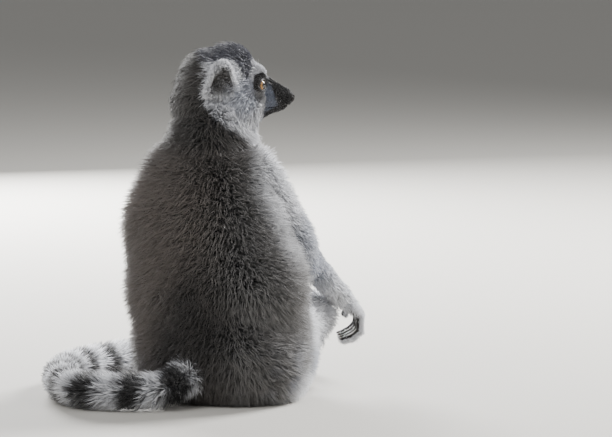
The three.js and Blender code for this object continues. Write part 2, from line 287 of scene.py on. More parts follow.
class Lattice:
    """A box of evenly spaced points that holds how far each of them is from a surface."""

    def __init__(self, low: Array, high: Array, spacing: float) -> None:
        """Makes an empty lattice over a box."""
        self.low = np.asarray(low, float)
        self.spacing = spacing
        self.counts = np.ceil((np.asarray(high) - self.low) / spacing).astype(int) + 1
        self.values = np.full(self.counts, FAR, np.float32)

    def block(self, form: Form, margin: float) -> tuple[tuple[slice, ...], Array]:
        """The stretch of the lattice round a form.

        Args:
            form: What the stretch holds.
            margin: How far it reaches past the form.

        Returns:
            Where the stretch lies in the lattice, and its points, one in a row.
        """
        low, high = form.box()
        first = np.floor((low - margin - self.low) / self.spacing).astype(int).clip(0, self.counts)
        last = np.ceil((high + margin - self.low) / self.spacing).astype(int).clip(0, self.counts - 1) + 1
        steps = [self.low[k] + self.spacing * np.arange(first[k], last[k]) for k in range(3)]
        points = np.stack(np.meshgrid(*steps, indexing="ij"), axis=-1).reshape(-1, 3).astype(np.float32)
        return tuple(slice(a, b) for a, b in zip(first, last)), points

    def surface(self) -> tuple[Array, Array]:
        """Draws the surface as a net with one vertex in each cell that it passes through.

        Returns:
            Places of the vertices, and quads that face out.
        """
        inside = self.values < 0.0
        corners = [
            inside[x:self.counts[0] - 1 + x, y:self.counts[1] - 1 + y, z:self.counts[2] - 1 + z]
            for x in (0, 1) for y in (0, 1) for z in (0, 1)
        ]
        mixed = np.logical_or.reduce(corners) & ~np.logical_and.reduce(corners)
        cells = np.argwhere(mixed)
        index = np.full(mixed.shape, -1, np.int32)
        index[mixed] = np.arange(len(cells))

        total = np.zeros((len(cells), 3))
        count = np.zeros(len(cells))
        quads = []
        for axis in range(3):
            one, two = (axis + 1) % 3, (axis + 2) % 3
            for i, j in ((0, 0), (0, 1), (1, 0), (1, 1)):
                start = cells.copy()
                start[:, one] += i
                start[:, two] += j
                end = start.copy()
                end[:, axis] += 1
                near, far = self.values[tuple(start.T)], self.values[tuple(end.T)]
                crossed = (near < 0.0) != (far < 0.0)
                place = start.astype(float)
                place[:, axis] += np.where(crossed, near / np.where(crossed, near - far, 1.0), 0.0)
                total += place * crossed[:, None]
                count += crossed
            step = np.eye(3, dtype=int)
            here = [slice(1, -1)] * 3
            here[axis] = slice(0, -1)
            beyond = list(here)
            beyond[axis] = slice(1, None)
            filled = inside[tuple(here)]
            edges = np.argwhere(filled != inside[tuple(beyond)])
            outward = filled[tuple(edges.T)]
            edges = edges + 1 - step[axis]
            quad = np.stack([
                index[tuple((edges - step[one] - step[two]).T)],
                index[tuple((edges - step[two]).T)],
                index[tuple(edges.T)],
                index[tuple((edges - step[one]).T)],
            ], axis=1)
            quads.append(np.where(outward[:, None], quad, quad[:, ::-1]))
        return self.low + self.spacing * total / count[:, None], np.concatenate(quads)


# ---- Parts of the body ------------------------------------------------------------------


@dataclass(frozen=True)
class Growth:
    """How the coat grows. Lengths in millimetres, leans in degrees from square to the skin."""

    depth: float
    root_lean: float
    tip_lean: float
    width: float
    density: float


@dataclass
class BodyPart:
    """A part of the body: its flesh, how its coat grows and lies, and how it is marked."""

    name: str
    spine: tuple[Array, Array]
    slot: str
    growth: Growth
    blend: float

    @property
    def nodes(self) -> tuple[str, ...]:
        """Names of the solids that the part stands for."""
        return (self.name,)

    def share(self, points: Array) -> Array:
        """How far along the spine each point lies, 0 to 1."""
        return Bone(*self.spine).share(points)

    def flesh(self) -> list[Form]:
        """The forms that the flesh is made of, melted into the body one after the other."""
        raise NotImplementedError

    def fillet(self, points: Array) -> Array | float:
        """Reach of the fillet between this part's coat and the coats before it."""
        return self.blend

    def distance(self, points: Array) -> Array:
        """How far each point is from this part's flesh."""
        return np.min([form.distance(points) for form in self.flesh()], axis=0)

    def lie(self, points: Array) -> Array:
        """Which way the hair is combed, by default from the near end of the part to the far one."""
        return np.broadcast_to(unit(self.spine[1] - self.spine[0]), points.shape)

    def paint(self, points: Array) -> Array:
        """Colour of the coat at each point, in linear light."""
        raise NotImplementedError

    def bare(self, points: Array, normals: Array) -> Array:
        """1 where no hair grows, 0 elsewhere."""
        return np.zeros(len(points))

    def depth(self, points: Array) -> Array:
        """Depth of the coat at each point."""
        return np.full(len(points), self.growth.depth)

    def unwrap(self, points: Array) -> Array:
        """Places on a flat unwrap of the part: the turn round its spine and the way along it."""
        start, end = self.spine
        along = unit(end - start)
        side = unit(np.cross(along, (0.3, 1.0, 0.2)))
        offset = points - start
        turn = np.arctan2(offset @ np.cross(along, side), offset @ side)
        return np.stack([turn / (2.0 * math.pi) + 0.5, offset @ along], axis=1)


def lay(colours: Array, mask: Array, hue: Hue) -> Array:
    """Lays a colour over others where the mask says."""
    return colours + mask[:, None] * (linear(hue.value) - colours)


def plain(points: Array, hue: Hue) -> Array:
    """One colour for all points."""
    return np.tile(linear(hue.value), (len(points), 1))


class Trunk(BodyPart):
    """Pelvis, belly, chest and withers."""

    def __init__(self) -> None:
        """Runs the spine down from the withers to the rump."""
        spine = (np.array([LEAN, 0.0, 240.0]), np.array([2.0, 8.0, 20.0]))
        super().__init__("trunk", spine, "back_fur", Growth(24.0, 6.0, 25.0, 0.58, 1.15), 1.0)

    def flesh(self) -> list[Form]:
        """The trunk's balls: rump, belly, chest and shoulders."""
        return [melt(
            26.0,
            Ball((0.0, 8.0, 52.0), (60.0, 54.0, 50.0)),
            Ball((LEAN * 0.35, 5.0, 112.0), (79.0, 55.0, 68.0)),
            Ball((LEAN * 1.1, 6.0, 178.0), (69.0, 43.0, 56.0)),
            Ball((LEAN, -1.0, 230.0), (47.0, 35.0, 26.0)),
        )]

    def paint(self, points: Array) -> Array:
        """Brownish grey above, with painted shade over the low back and rump, white by the arms that is
        partly painted light, and whitish on the belly.
        """
        x, y, z = points.T
        wander = ripple(points, 38.0, 11)
        colours = plain(points, Hue.BROWN)
        colours = lay(colours, ramp(12.0 - x, 10.0, 70.0), Hue.GREY)
        colours = lay(colours, ramp(z + 8.0 * wander, 210.0, 262.0) * 0.5, Hue.SHADE)
        # Painted shade: a dark patch over the low back and rump, where the back lies in shade.
        low_back_shade = np.hypot((x + 2.0) / 62.0, (z - 66.0) / 88.0) + 0.12 * wander
        colours = lay(colours, ramp(low_back_shade, 1.15, 0.35) * 0.95, Hue.DARK)
        # Partly painted light: white spreads from the outer arms onto the shoulders.
        colours = lay(colours, arm_share(points) * ramp(z, 125.0, 165.0) * 0.75, Hue.WHITE)
        return lay(colours, ramp(y + 6.0 * wander, -32.0, -54.0), Hue.WHITE)


def arm_share(points: Array) -> Array:
    """How pale the outer side of the upper arms is, falling to 0 where they meet the back: partly the arm's
    pale fur and partly painted light, full on the right arm and about a third as strong on the left.
    """
    share = np.zeros(len(points))
    # Painted light: the right arm, where the light falls on the shoulder, gets the full white, the left only
    # 0.35 of it.
    for pose, most in zip(ARMS, (1.0, 0.35)):
        offset = Bone(pose.shoulder, pose.elbow).offset(points)
        outer = 0.9 * pose.side * offset[:, 0] - 0.45 * offset[:, 1]
        share = np.maximum(share, ramp(outer + 3.0 * ripple(points, 14.0, 21), 0.0, 22.0) * most)
    return share


def face_share(points: Array) -> Array:
    """1 where head and throat are white, 0 on the dark nape and ruff."""
    x, _, z = HEAD.local(points).T
    wander = ripple(points, 11.0, 13)
    edge = np.interp(x, (-31.0, -20.0, -6.0, 13.0, 24.0), (-9.0, -28.0, -41.0, -51.0, -58.0))
    rear = ramp(x + wander, -31.0, -27.5) * ramp(z - edge + wander, -2.5, 1.5)
    return np.maximum(rear, ramp(x + wander, 20.0, 28.0))


class Neck(BodyPart):
    """The neck, in its dark ruff."""

    def __init__(self) -> None:
        """Runs the spine down from the nape to the withers."""
        spine = (np.array([17.0, -6.0, 275.0]), np.array([LEAN, -4.0, 234.0]))
        super().__init__("neck", spine, "dark_fur", Growth(16.0, 10.0, 34.0, 0.56, 1.25), 18.0)

    def flesh(self) -> list[Form]:
        """The neck's bone."""
        return [Bone(*self.spine, 31.0, 36.0)]

    def paint(self, points: Array) -> Array:
        """Dark grey, with a white throat."""
        lower = ramp(HEAD.local(points)[:, 2], -54.0, -90.0)
        colours = lay(plain(points, Hue.SHADE), lower * 0.85, Hue.BROWN)
        return lay(colours, face_share(points), Hue.WHITE)


HEAD_AHEAD = heading(HEAD_TURN, 0.0)
HEAD = Place.facing(
    HEAD_CENTRE,
    HEAD_AHEAD,
    unit(
        np.array(UP) * math.cos(math.radians(HEAD_ROLL))
        + np.cross(HEAD_AHEAD, UP) * math.sin(math.radians(HEAD_ROLL))
    ),
)


def eye_centre(side: Side) -> Array:
    """Middle of an eyeball, in the head's own frame."""
    return np.array(EYE_PLACE) * (1.0, side, 1.0)


def eye_distance(points: Array) -> Array:
    """How far each point is from the middle of the nearer eyeball."""
    local = HEAD.local(points)
    return np.min([np.linalg.norm(local - eye_centre(side), axis=1) for side in Side], axis=0)


def face_distance(local: Array) -> Array:
    """How far each place in the head's own frame is from the middle of the face."""
    return np.linalg.norm(local - FACE_PLACE, axis=1)


def lip_distance(x: Array, z: Array) -> Array:
    """How far above or below the line of the lips each place in the head's own frame is."""
    return np.abs(z + 24.6 + (66.0 - x) * 0.10)


def gaze_place(side: Side) -> Place:
    """A frame at the eyeball, in the head's own frame, with x the way it looks."""
    return Place.facing(eye_centre(side), unit(np.array([2.5, 2.0 * side, 0.0])), np.array([0.0, 0.0, 1.0]))


def ear_stalk(side: Side) -> Bone:
    """The stretch from an ear's base to its tip, as thick as the ear is wide."""
    return Bone(HEAD.at(-8, side * 31, -17), HEAD.at(-9, side * 45, 28), 16.0, 10.0)


@dataclass(frozen=True)
class HeadForm(Form):
    """The skull's flesh with its lids, eye sockets and mouth."""

    lid: float = 1.3
    opening: tuple[float, float] = (54.0, 37.0)

    def mass(self, local: Array) -> Array:
        """The head without its openings, for points in the head's own frame."""
        def middle(x: float, z: float, *radii: float) -> list[Form]:
            return [Ball((x, 0.0, z), radii)]

        def pair(x: float, y: float, z: float, *radii: float) -> list[Form]:
            return [Ball((x, side * y, z), radii) for side in Side]

        skull = melt(
            14.0,
            *middle(-1, 2, 31, 26, 26), *middle(15, 14, 14, 17, 17), *middle(-19, -19, 22, 26, 22),
            *pair(9, 17, -27, 21, 13, 18), *pair(12, 12, -32, 13, 11, 11), *pair(14, 13, -9, 24, 12, 15),
        )
        face = melt(
            5.0,
            *pair(33, 12, 9.5, 9, 8, 6.5), *pair(31.5, 15.5, 0, 9, 9, 9), *pair(58, 4.5, -20, 11, 6, 7),
            Bone((44.0, 0.0, -0.6), (68.0, 0.0, -14.7), 6.0, 5.0),
            Bone((32.0, 0.0, -14.0), (65.0, 0.0, -18.0), 17.0, 7.8),
            Bone((33.0, 0.0, -30.0), (60.0, 0.0, -25.0), 10.0, 5.0),
        )
        return smooth_min(skull.distance(local), face.distance(local), 12.0)

    def distance(self, points: Array) -> Array:
        """How far each point is from the surface."""
        local = HEAD.local(points)
        whole = self.mass(local)
        for side in Side:
            ball = np.linalg.norm(local - eye_centre(side), axis=1) - EYE_RADIUS
            forward, across, up = gaze_place(side).local(local).T
            wide = np.degrees(np.arctan2(across, forward)) / self.opening[0]
            high = np.degrees(np.arctan2(up, forward)) / self.opening[1]
            aperture = (np.hypot(wide, high) - 1.0) * EYE_RADIUS * math.radians(self.opening[1])
            whole = smooth_min(whole, ball - self.lid, 2.5)
            whole = smooth_max(whole, -aperture, 1.0)
            whole = smooth_max(whole, -(ball - 0.05), 0.4)
        x, _, z = local.T
        lips = np.maximum(lip_distance(x, z) - 0.5, -whole - 1.7)
        return smooth_max(whole, -np.maximum(lips, 43.0 - x), 0.7)

    def box(self) -> tuple[Array, Array]:
        """Lowest and highest corner."""
        centre = HEAD.at(15.0, 0.0, -8.0)
        return centre - 68.0, centre + 68.0


class Head(BodyPart):
    """The head, from nape to muzzle."""

    def __init__(self) -> None:
        """Runs the spine back from the muzzle to the nape."""
        spine = (HEAD.at(56, 0, -16), HEAD.at(-22, 0, 2))
        super().__init__("head", spine, "pale_fur", Growth(9.0, 40.0, 62.0, 0.46, 2.2), 12.0)

    def flesh(self) -> list[Form]:
        """The head's flesh."""
        return [HeadForm()]

    def lie(self, points: Array) -> Array:
        """Hair runs back from the nose, and down over the cheeks."""
        x, y, z = HEAD.local(points).T
        down = ramp(z, 4.0, -24.0) * ramp(x, 46.0, 18.0) * 0.9
        ways = np.stack([-np.ones_like(x), 0.25 * np.sign(y) * ramp(np.abs(y), 2.0, 12.0), -down], axis=1)
        return unit(ways @ HEAD.axes.T)

    def depth(self, points: Array) -> Array:
        """Short on the muzzle and round the eyes, long on the cheeks and nape."""
        x, _, z = HEAD.local(points).T
        depth = self.growth.depth + ramp(x, 0.0, -26.0) * 2.0
        depth -= ramp(x, 8.0, 34.0) * 6.0
        depth -= ramp(x, 34.0, 50.0) * 1.9
        ears = np.max([ramp(ear_stalk(side).distance(points), 9.0, 0.0) for side in Side], axis=0)
        depth -= ears * 6.0 * ramp(z, -36.0, -14.0)
        return np.maximum(depth - ramp(eye_distance(points), 16.0, 9.5) * 2.2, 0.8)

    def bare(self, points: Array, normals: Array) -> Array:
        """Lids, lips and the tip of the nose are bare."""
        x, _, z = HEAD.local(points).T
        lids = ramp(eye_distance(points), 9.6, 9.1)
        lips = ramp(lip_distance(x, z), 1.2, 0.5) * ramp(x, 40.0, 46.0)
        return np.maximum.reduce([lids, lips, ramp(x, 70.0, 72.5)])

    def paint(self, points: Array) -> Array:
        """White face with painted shade on the cheeks and temples, dark cap and nape, black eye patches and
        muzzle.
        """
        x, y, z = HEAD.local(points).T
        wander = ripple(points, 11.0, 13)
        face = face_share(points)
        colours = plain(points, Hue.WHITE)
        cap_edge = 5.7 + np.minimum(2.0 * np.maximum(16.0 - x, 0.0), 18.0)
        cap = ramp(z - cap_edge + 1.2 * wander, -1.5, 2.5) * ramp(x - 0.45 * (z - 6.0) + wander, 21.5, 17.0)
        colours = lay(colours, cap, Hue.SLATE)
        colours = lay(colours, 1.0 - face, Hue.SHADE)
        colours = lay(colours, ramp(x + wander, 40.0, 43.0) * ramp(z, 4.0, -2.0), Hue.STEEL)
        # Painted shade: the lower cheek greyed, as it lies in shade below the lit brow.
        cheek_shade = np.hypot((x - 14.0) / 20.0, (z + 16.0) / 24.0) + 0.1 * wander
        cheek_shade = ramp(cheek_shade, 1.15, 0.7) * ramp(x + wander, 43.0, 40.0) * face
        colours = lay(colours, cheek_shade * 0.9, Hue.MIST)
        # Painted shade: the temple greyed as well.
        temple_shade = np.hypot((x - 19.0) / 12.0, (z + 3.0) / 11.0) + 0.15 * wander
        colours = lay(colours, ramp(temple_shade, 1.2, 0.4) * 0.7, Hue.PALE)
        for side in Side:
            outer = ramp(side * y, 4.0, 8.0)
            near = np.hypot((x - 35.6) / 11.0, (z - 2.0) / 10.8) + 0.07 * wander
            smudge = np.hypot((x - 34.0) / 8.0, (z + 11.5) / 9.0) + 0.1 * wander
            colours = lay(colours, ramp(smudge, 1.25, 0.5) * 0.75 * outer, Hue.SHADE)
            colours = lay(colours, ramp(near, 1.06, 0.9) * outer, Hue.BLACK)
        ridge = z + 0.6 * (x - 44.0)
        bridge = ramp(ridge + 0.5 * wander, -3.0, -0.5) * ramp(x, 38.0, 43.0) * ramp(np.abs(y), 9.0, 6.0)
        colours = lay(colours, bridge * ramp(ridge, 9.0, 4.0), Hue.BLACK)
        colours = lay(colours, ramp(x + 1.2 * wander + 0.25 * (z + 16.0), 50.5, 54.5), Hue.BLACK)
        chin = ramp(z + 0.42 * (60.0 - x) + 0.5 * wander, -22.0, -24.5) * ramp(x, 40.0, 43.5)
        return lay(colours, chin, Hue.BLACK)


class Ear(BodyPart):
    """A cupped ear with a white fringe."""

    side: Side

    def __init__(self, side: Side) -> None:
        """Places the leaf of the ear between its base and its tip."""
        stalk = ear_stalk(side)
        base, tip = stalk.start, stalk.end
        growth = Growth(depth=4.0, root_lean=36.0, tip_lean=58.0, width=0.42, density=2.7)
        super().__init__(f"ear_{side.word}", (base, tip), "white_fur", growth, 3.5)
        self.side = side
        self.leaf = Place.facing((base + tip) / 2.0, unit(tip - base), HEAD.way(0.2, side * 0.95, -0.15))

    def flesh(self) -> list[Form]:
        """A thin cup on a short root."""
        return [CupForm(self.leaf, self.side)]

    def lie(self, points: Array) -> Array:
        """Hair runs out from the middle of the leaf to its rim."""
        x, y, _ = self.leaf.local(points).T
        return unit(np.stack([x + 8.0, y, np.zeros_like(x)], axis=1) @ self.leaf.axes.T)

    def hollow(self, points: Array) -> Array:
        """1 inside the cup, 0 outside it."""
        x, y, z = self.leaf.local(points).T
        half = 13.6 - 0.24 * np.maximum(x + 8.0, 0.0)
        return ramp(np.hypot((x + 1.0) / 18.8, y / half), 1.03, 0.9) * ramp(z, -4.6, -3.8)

    def depth(self, points: Array) -> Array:
        """Short hair inside the cup, a fringe at its rim."""
        return self.growth.depth * (1.0 - 0.75 * self.hollow(points))

    def bare(self, points: Array, normals: Array) -> Array:
        """The middle of the cup is thinly haired."""
        x, _, _ = self.leaf.local(points).T
        return self.hollow(points) * (0.6 + 0.4 * ramp(x, 8.0, 3.0))

    def paint(self, points: Array) -> Array:
        """White, with mottled grey skin inside that turns black towards the root."""
        x, _, _ = self.leaf.local(points).T
        hollow = self.hollow(points)
        speckle = ramp(ripple(points, 5.0, 20), -0.3, 0.6)
        colours = lay(plain(points, Hue.WHITE), hollow * (0.6 + 0.4 * speckle), Hue.DARK)
        return lay(colours, hollow * ramp(x + 2.0 * speckle, 6.0, 1.0), Hue.BLACK)


@dataclass(frozen=True)
class CupForm(Form):
    """The flesh of an ear."""

    leaf: Place
    side: Side

    def distance(self, points: Array) -> Array:
        """How far each point is from the surface."""
        local = self.leaf.local(points)
        outer = melt(
            5.0,
            Ball((3.5, 0.0, 0.0), (17.0, 11.0, 5.5)),
            Ball((-8.0, 0.0, 0.0), (12.5, 14.8, 5.5)),
        )
        bowl = melt(
            5.0,
            Ball((3.5, 0.0, 2.9), (14.6, 8.8, 6.2)),
            Ball((-7.5, 0.0, 2.9), (10.4, 12.2, 6.2)),
        )
        cup = smooth_max(outer.distance(local), -bowl.distance(local), 1.2)
        root = Bone(HEAD.at(-6, self.side * 20, -10), self.leaf.at(-9.0, 0.0, -4.0), 8.0, 5.0)
        return smooth_min(cup, root.distance(points), 3.0)

    def box(self) -> tuple[Array, Array]:
        """Lowest and highest corner."""
        return self.leaf.origin - 30.0, self.leaf.origin + 30.0


@dataclass(frozen=True)
class Digit:
    """A finger or toe: its bones, and where its nail grows."""

    bones: tuple[Bone, ...]
    tip: Place


def digit(
    limb: Place, root: Sequence[float], splay: float, lengths: Sequence[float], radius: float,
    curl: Sequence[float],
) -> Digit:
    """Builds a curled digit of short tapering bones, each turned further towards the palm.

    Args:
        limb: Frame of the hand or foot.
        root: Where the digit starts, inside that frame.
        splay: Degrees that it turns sideways.
        lengths: Lengths of its bones.
        radius: Radius of a bone's near end.
        curl: Degrees that each bone turns down from the one before.

    Returns:
        The digit.
    """
    taper = 0.86
    sideways, bend = math.radians(splay), 0.0
    joints = [np.array(root, float)]
    for length, turn in zip(lengths, curl):
        bend += math.radians(turn)
        level = math.cos(bend) * length
        step = (math.cos(sideways) * level, math.sin(sideways) * level, -math.sin(bend) * length)
        joints.append(joints[-1] + step)
    places = [limb.at(*joint) for joint in joints]
    bones = tuple(Bone(a, b, radius, radius * taper) for a, b in zip(places, places[1:]))
    ahead = unit(places[-1] - places[-2])
    return Digit(bones, Place.facing(places[-1], ahead, limb.way(0.0, 0.0, 1.0)))


@dataclass(frozen=True)
class ArmPose:
    """Turn and rise of each length of an arm, in degrees."""

    side: Side
    upper: tuple[float, float]
    fore: tuple[float, float]
    hand: tuple[float, float]
    back: tuple[float, float]
    curl: tuple[float, float, float]

    @property
    def shoulder(self) -> Array:
        """Middle of the shoulder joint."""
        x, y, z = SHOULDER
        return np.array([LEAN + self.side * x, y, z])

    @property
    def elbow(self) -> Array:
        """Middle of the elbow."""
        return self.shoulder + UPPER_ARM * heading(*self.upper)

    @property
    def wrist(self) -> Array:
        """Middle of the wrist."""
        return self.elbow + FOREARM * heading(*self.fore)


ARMS = (
    ArmPose(Side.RIGHT, (-35, -59), (-18, -41), (-41, -43), (-63, 45), (48, 48, 22)),
    ArmPose(Side.LEFT, (22, -57), (-14, -40), (-15, -36), (-15, 54), (38, 40, 20)),
)


class UpperArm(BodyPart):
    """Shoulder to elbow."""

    def __init__(self, pose: ArmPose) -> None:
        """Runs from shoulder to elbow."""
        growth = Growth(12.0, 18.0, 42.0, 0.56, 1.3)
        super().__init__(f"upper_arm_{pose.side.word}", (pose.shoulder, pose.elbow), "back_fur", growth, 14.0)

    def flesh(self) -> list[Form]:
        """The upper arm's bone, and the muscle that fills the fold behind it."""
        start, end = self.spine
        muscle = Bone(start + (0.0, 7.0, -8.0), end + (0.0, 9.0, 3.0), 15.0, 9.5)
        return [melt(8.0, Bone(start, end, 18.0, 11.5), muscle)]

    def fillet(self, points: Array) -> Array:
        """The coat closes the fold between arm and body, most of all near the elbow."""
        return self.blend + 38.0 * self.share(points)

    def paint(self, points: Array) -> Array:
        """Grey, paler towards the elbow and white in front, that white partly painted light."""
        elbow = ramp(self.share(points) + 0.1 * ripple(points, 18.0, 14), 0.6, 1.0)
        colours = lay(plain(points, Hue.GREY), arm_share(points) * 0.95, Hue.WHITE)
        return lay(colours, elbow * 0.9, Hue.PALE)


class Forearm(BodyPart):
    """Elbow to wrist."""

    def __init__(self, pose: ArmPose) -> None:
        """Runs from elbow to wrist."""
        growth = Growth(6.0, 40.0, 64.0, 0.5, 1.5)
        super().__init__(f"forearm_{pose.side.word}", (pose.elbow, pose.wrist), "pale_fur", growth, 8.0)

    def flesh(self) -> list[Form]:
        """The forearm's bone and its muscle."""
        start, end = self.spine
        muscle = Ball(start + 0.3 * (end - start) + (0.0, 4.0, -5.0), (13.5, 15.0, 13.5))
        return [melt(6.0, Bone(start, end, 12.0, 6.5), muscle)]

    def paint(self, points: Array) -> Array:
        """Light grey, greyer from the elbow to the middle, partly with painted shade, and whiter at the
        wrist.
        """
        share = self.share(points)
        # Partly painted shade: the greyer stretch near the elbow is the forearm's own grey and the shade on
        # its outer side.
        middle = (0.45 + 0.55 * ramp(ripple(points, 24.0, 15), -0.4, 0.7)) * ramp(share, 0.75, 0.4)
        colours = lay(plain(points, Hue.PALE), middle, Hue.SILVER)
        return lay(colours, ramp(share, 0.5, 1.0) * 0.9, Hue.WHITE)


class Paw(BodyPart):
    """A hand or a foot: what they share is a bare black sole and nailed digits."""

    place: Place
    digits: list[Digit]

    def grown(self, body: Form) -> list[Form]:
        """The body of the paw, and its digits."""
        return [body, *(melt(2.0, *one.bones) for one in self.digits)]

    def lie(self, points: Array) -> Array:
        """Hair runs towards the tips of the digits."""
        return np.broadcast_to(self.place.way(1.0, 0.0, 0.0), points.shape)

    def bare(self, points: Array, normals: Array) -> Array:
        """The palm or sole and the undersides of the digits are bare."""
        facing = normals @ self.place.way(0.0, 0.0, -1.0)
        nearest = np.full(len(points), 1.5)
        for bone in (bone for one in self.digits for bone in one.bones):
            away = bone.distance(points)
            under = np.cross(self.place.axes[:, 1], unit(bone.end - bone.start))
            facing = np.where(away < nearest, normals @ under + 0.25, facing)
            nearest = np.minimum(nearest, away)
        return ramp(facing, 0.35, 0.6)

    def paint(self, points: Array) -> Array:
        """White above; the bare skin is painted with the skin."""
        return lay(plain(points, Hue.WHITE), ramp(ripple(points, 16.0, 16), 0.0, 1.0) * 0.35, Hue.PALE)


class Hand(Paw):
    """A hand, curled down over the knee."""

    def __init__(self, pose: ArmPose) -> None:
        """Places the palm at the wrist and grows its digits."""
        self.place = Place.facing(pose.wrist, heading(*pose.hand), heading(*pose.back))
        growth = Growth(depth=2.3, root_lean=52.0, tip_lean=70.0, width=0.41, density=2.6)
        spine = (self.place.at(-4, 0, 0), self.place.at(40, 0, 0))
        super().__init__(f"hand_{pose.side.word}", spine, "white_fur", growth, 3.0)
        inner = -pose.side
        self.digits = [
            digit(
                self.place, (27.5, inner * across, -0.5), inner * across * 1.6,
                (15, 11, 9 - number * 0.3), 3.4, pose.curl,
            )
            for number, across in enumerate((-9, -3, 3, 9))
        ]
        self.digits.append(digit(self.place, (12, inner * 9, -2), inner * 48, (13, 10), 3.6, (20, 25)))

    def flesh(self) -> list[Form]:
        """Palm and digits."""
        palm = melt(
            6.0,
            Bone(self.place.at(-6, 0, 0), self.place.at(8, 0, 0), 6.5, 6.5),
            Ball(self.place.at(18, 0, 0), (14.0, 11.5, 5.5), self.place.axes),
        )
        return self.grown(palm)


@dataclass(frozen=True)
class LegPose:
    """Turn and rise of each length of a leg, in degrees."""

    side: Side
    thigh: tuple[float, float]
    shank: tuple[float, float]
    foot_turn: float

    @property
    def hip(self) -> Array:
        """Middle of the hip joint."""
        x, y, z = HIP
        return np.array([self.side * x, y, z])

    @property
    def knee(self) -> Array:
        """Middle of the knee."""
        return self.hip + THIGH * heading(*self.thigh)

    @property
    def ankle(self) -> Array:
        """Middle of the ankle."""
        return self.knee + SHANK * heading(*self.shank)


LEGS = (
    LegPose(Side.RIGHT, (-3, 10.8), (-179, -29), 12),
    LegPose(Side.LEFT, (4, 10.8), (180, -29), 4),
)


class Thigh(BodyPart):
    """Haunch and thigh."""

    side: Side

    def __init__(self, pose: LegPose) -> None:
        """Runs from hip to knee."""
        growth = Growth(15.0, 12.0, 36.0, 0.58, 1.12)
        super().__init__(f"thigh_{pose.side.word}", (pose.hip, pose.knee), "back_fur", growth, 36.0)
        self.side = pose.side

    def flesh(self) -> list[Form]:
        """The thigh's bone and the haunch."""
        x, y, z = HIP
        haunch = np.array([self.side * (x + 12.0), y - 30.0, z - 14.0])
        return [melt(
            14.0,
            Bone(*self.spine, 30.0, 9.0),
            Ball(haunch, (26.0, 42.0, 30.0)),
            Ball(haunch + (0.0, -42.0, 4.0), (12.0, 28.0, 20.0)),
        )]

    def lie(self, points: Array) -> Array:
        """Hair runs along the thigh and hangs over its lower edge."""
        along = unit(self.spine[1] - self.spine[0])
        return np.broadcast_to(unit(along + (0.0, 0.0, -0.75)), points.shape)

    def paint(self, points: Array) -> Array:
        """Grey outside, with painted shade at the back of the haunch, white along the lower edge and inside.
        """
        _, y, z = points.T
        wander = ripple(points, 26.0, 17)
        colours = lay(plain(points, Hue.GREY), ramp(wander, -0.1, 0.8) * 0.5, Hue.SILVER)
        # Painted shade: darker at the back of the haunch, carrying on the shade of the low back.
        colours = lay(colours, ramp(y, 10.0, 34.0) * 0.6, Hue.SHADE)
        edge = ramp(z + 0.12 * y + 4.0 * wander, 40.0, 14.0) * ramp(y, 20.0, -20.0)
        colours = lay(colours, edge, Hue.WHITE)
        colours = lay(colours, ramp(y + 5.0 * wander, -14.0, -50.0) * 0.8, Hue.WHITE)
        patch = np.hypot((y + 42.0) / 22.0, (z - 38.0) / 18.0) + 0.2 * wander
        return lay(colours, ramp(patch, 1.2, 0.3) * 0.8, Hue.SILVER)


class Shank(BodyPart):
    """Knee to ankle."""

    def __init__(self, pose: LegPose) -> None:
        """Runs from knee to ankle."""
        growth = Growth(9.0, 36.0, 62.0, 0.54, 1.2)
        super().__init__(f"shank_{pose.side.word}", (pose.knee, pose.ankle), "pale_fur", growth, 8.0)

    def flesh(self) -> list[Form]:
        """The shank's bone and its calf."""
        start, end = self.spine
        calf = Ball(start + 0.3 * (end - start), (13.0, 16.0, 13.0))
        return [melt(6.0, Bone(start, end, 12.0, 8.0), calf)]

    def paint(self, points: Array) -> Array:
        """Pale grey to white."""
        white = ramp(ripple(points, 22.0, 18), -0.3, 0.8) * 0.8
        return lay(plain(points, Hue.PALE), white, Hue.WHITE)


class Foot(Paw):
    """A foot, flat on the floor."""

    def __init__(self, pose: LegPose) -> None:
        """Places the sole under the ankle and grows its digits."""
        x, y, _ = pose.ankle
        self.place = Place.facing((x, y + 12.0, 0.0), heading(pose.foot_turn, 0.0), UP)
        growth = Growth(depth=2.3, root_lean=52.0, tip_lean=70.0, width=0.42, density=2.0)
        spine = (self.place.at(0, 0, 8), self.place.at(FOOT_LENGTH, 0, 8))
        super().__init__(f"foot_{pose.side.word}", spine, "white_fur", growth, 3.0)
        inner = -pose.side
        self.digits = [
            digit(
                self.place, (FOOT_LENGTH, inner * across, 5), inner * across * 1.1,
                (13, 11, 8 - number * 0.4), 3.5, (6, 0, 12),
            )
            for number, across in enumerate((-10, -3.5, 3.5, 10))
        ]
        big_toe = (FOOT_LENGTH * 0.7, inner * 11, 5.5)
        self.digits.append(digit(self.place, big_toe, inner * 36, (17, 15), 4.4, (2, 2)))

    def flesh(self) -> list[Form]:
        """Heel, sole and digits."""
        body = melt(
            8.0,
            Ball(self.place.at(0, 0, 9), (9.0, 8.5, 8.0), self.place.axes),
            Bone(self.place.at(6, 0, 9.5), self.place.at(FOOT_LENGTH * 0.66, 0, 8), 7.5, 6.5),
            Ball(self.place.at(FOOT_LENGTH * 0.84, 0, 6.5), (19.0, 13.0, 5.5), self.place.axes),
        )
        return self.grown(body)


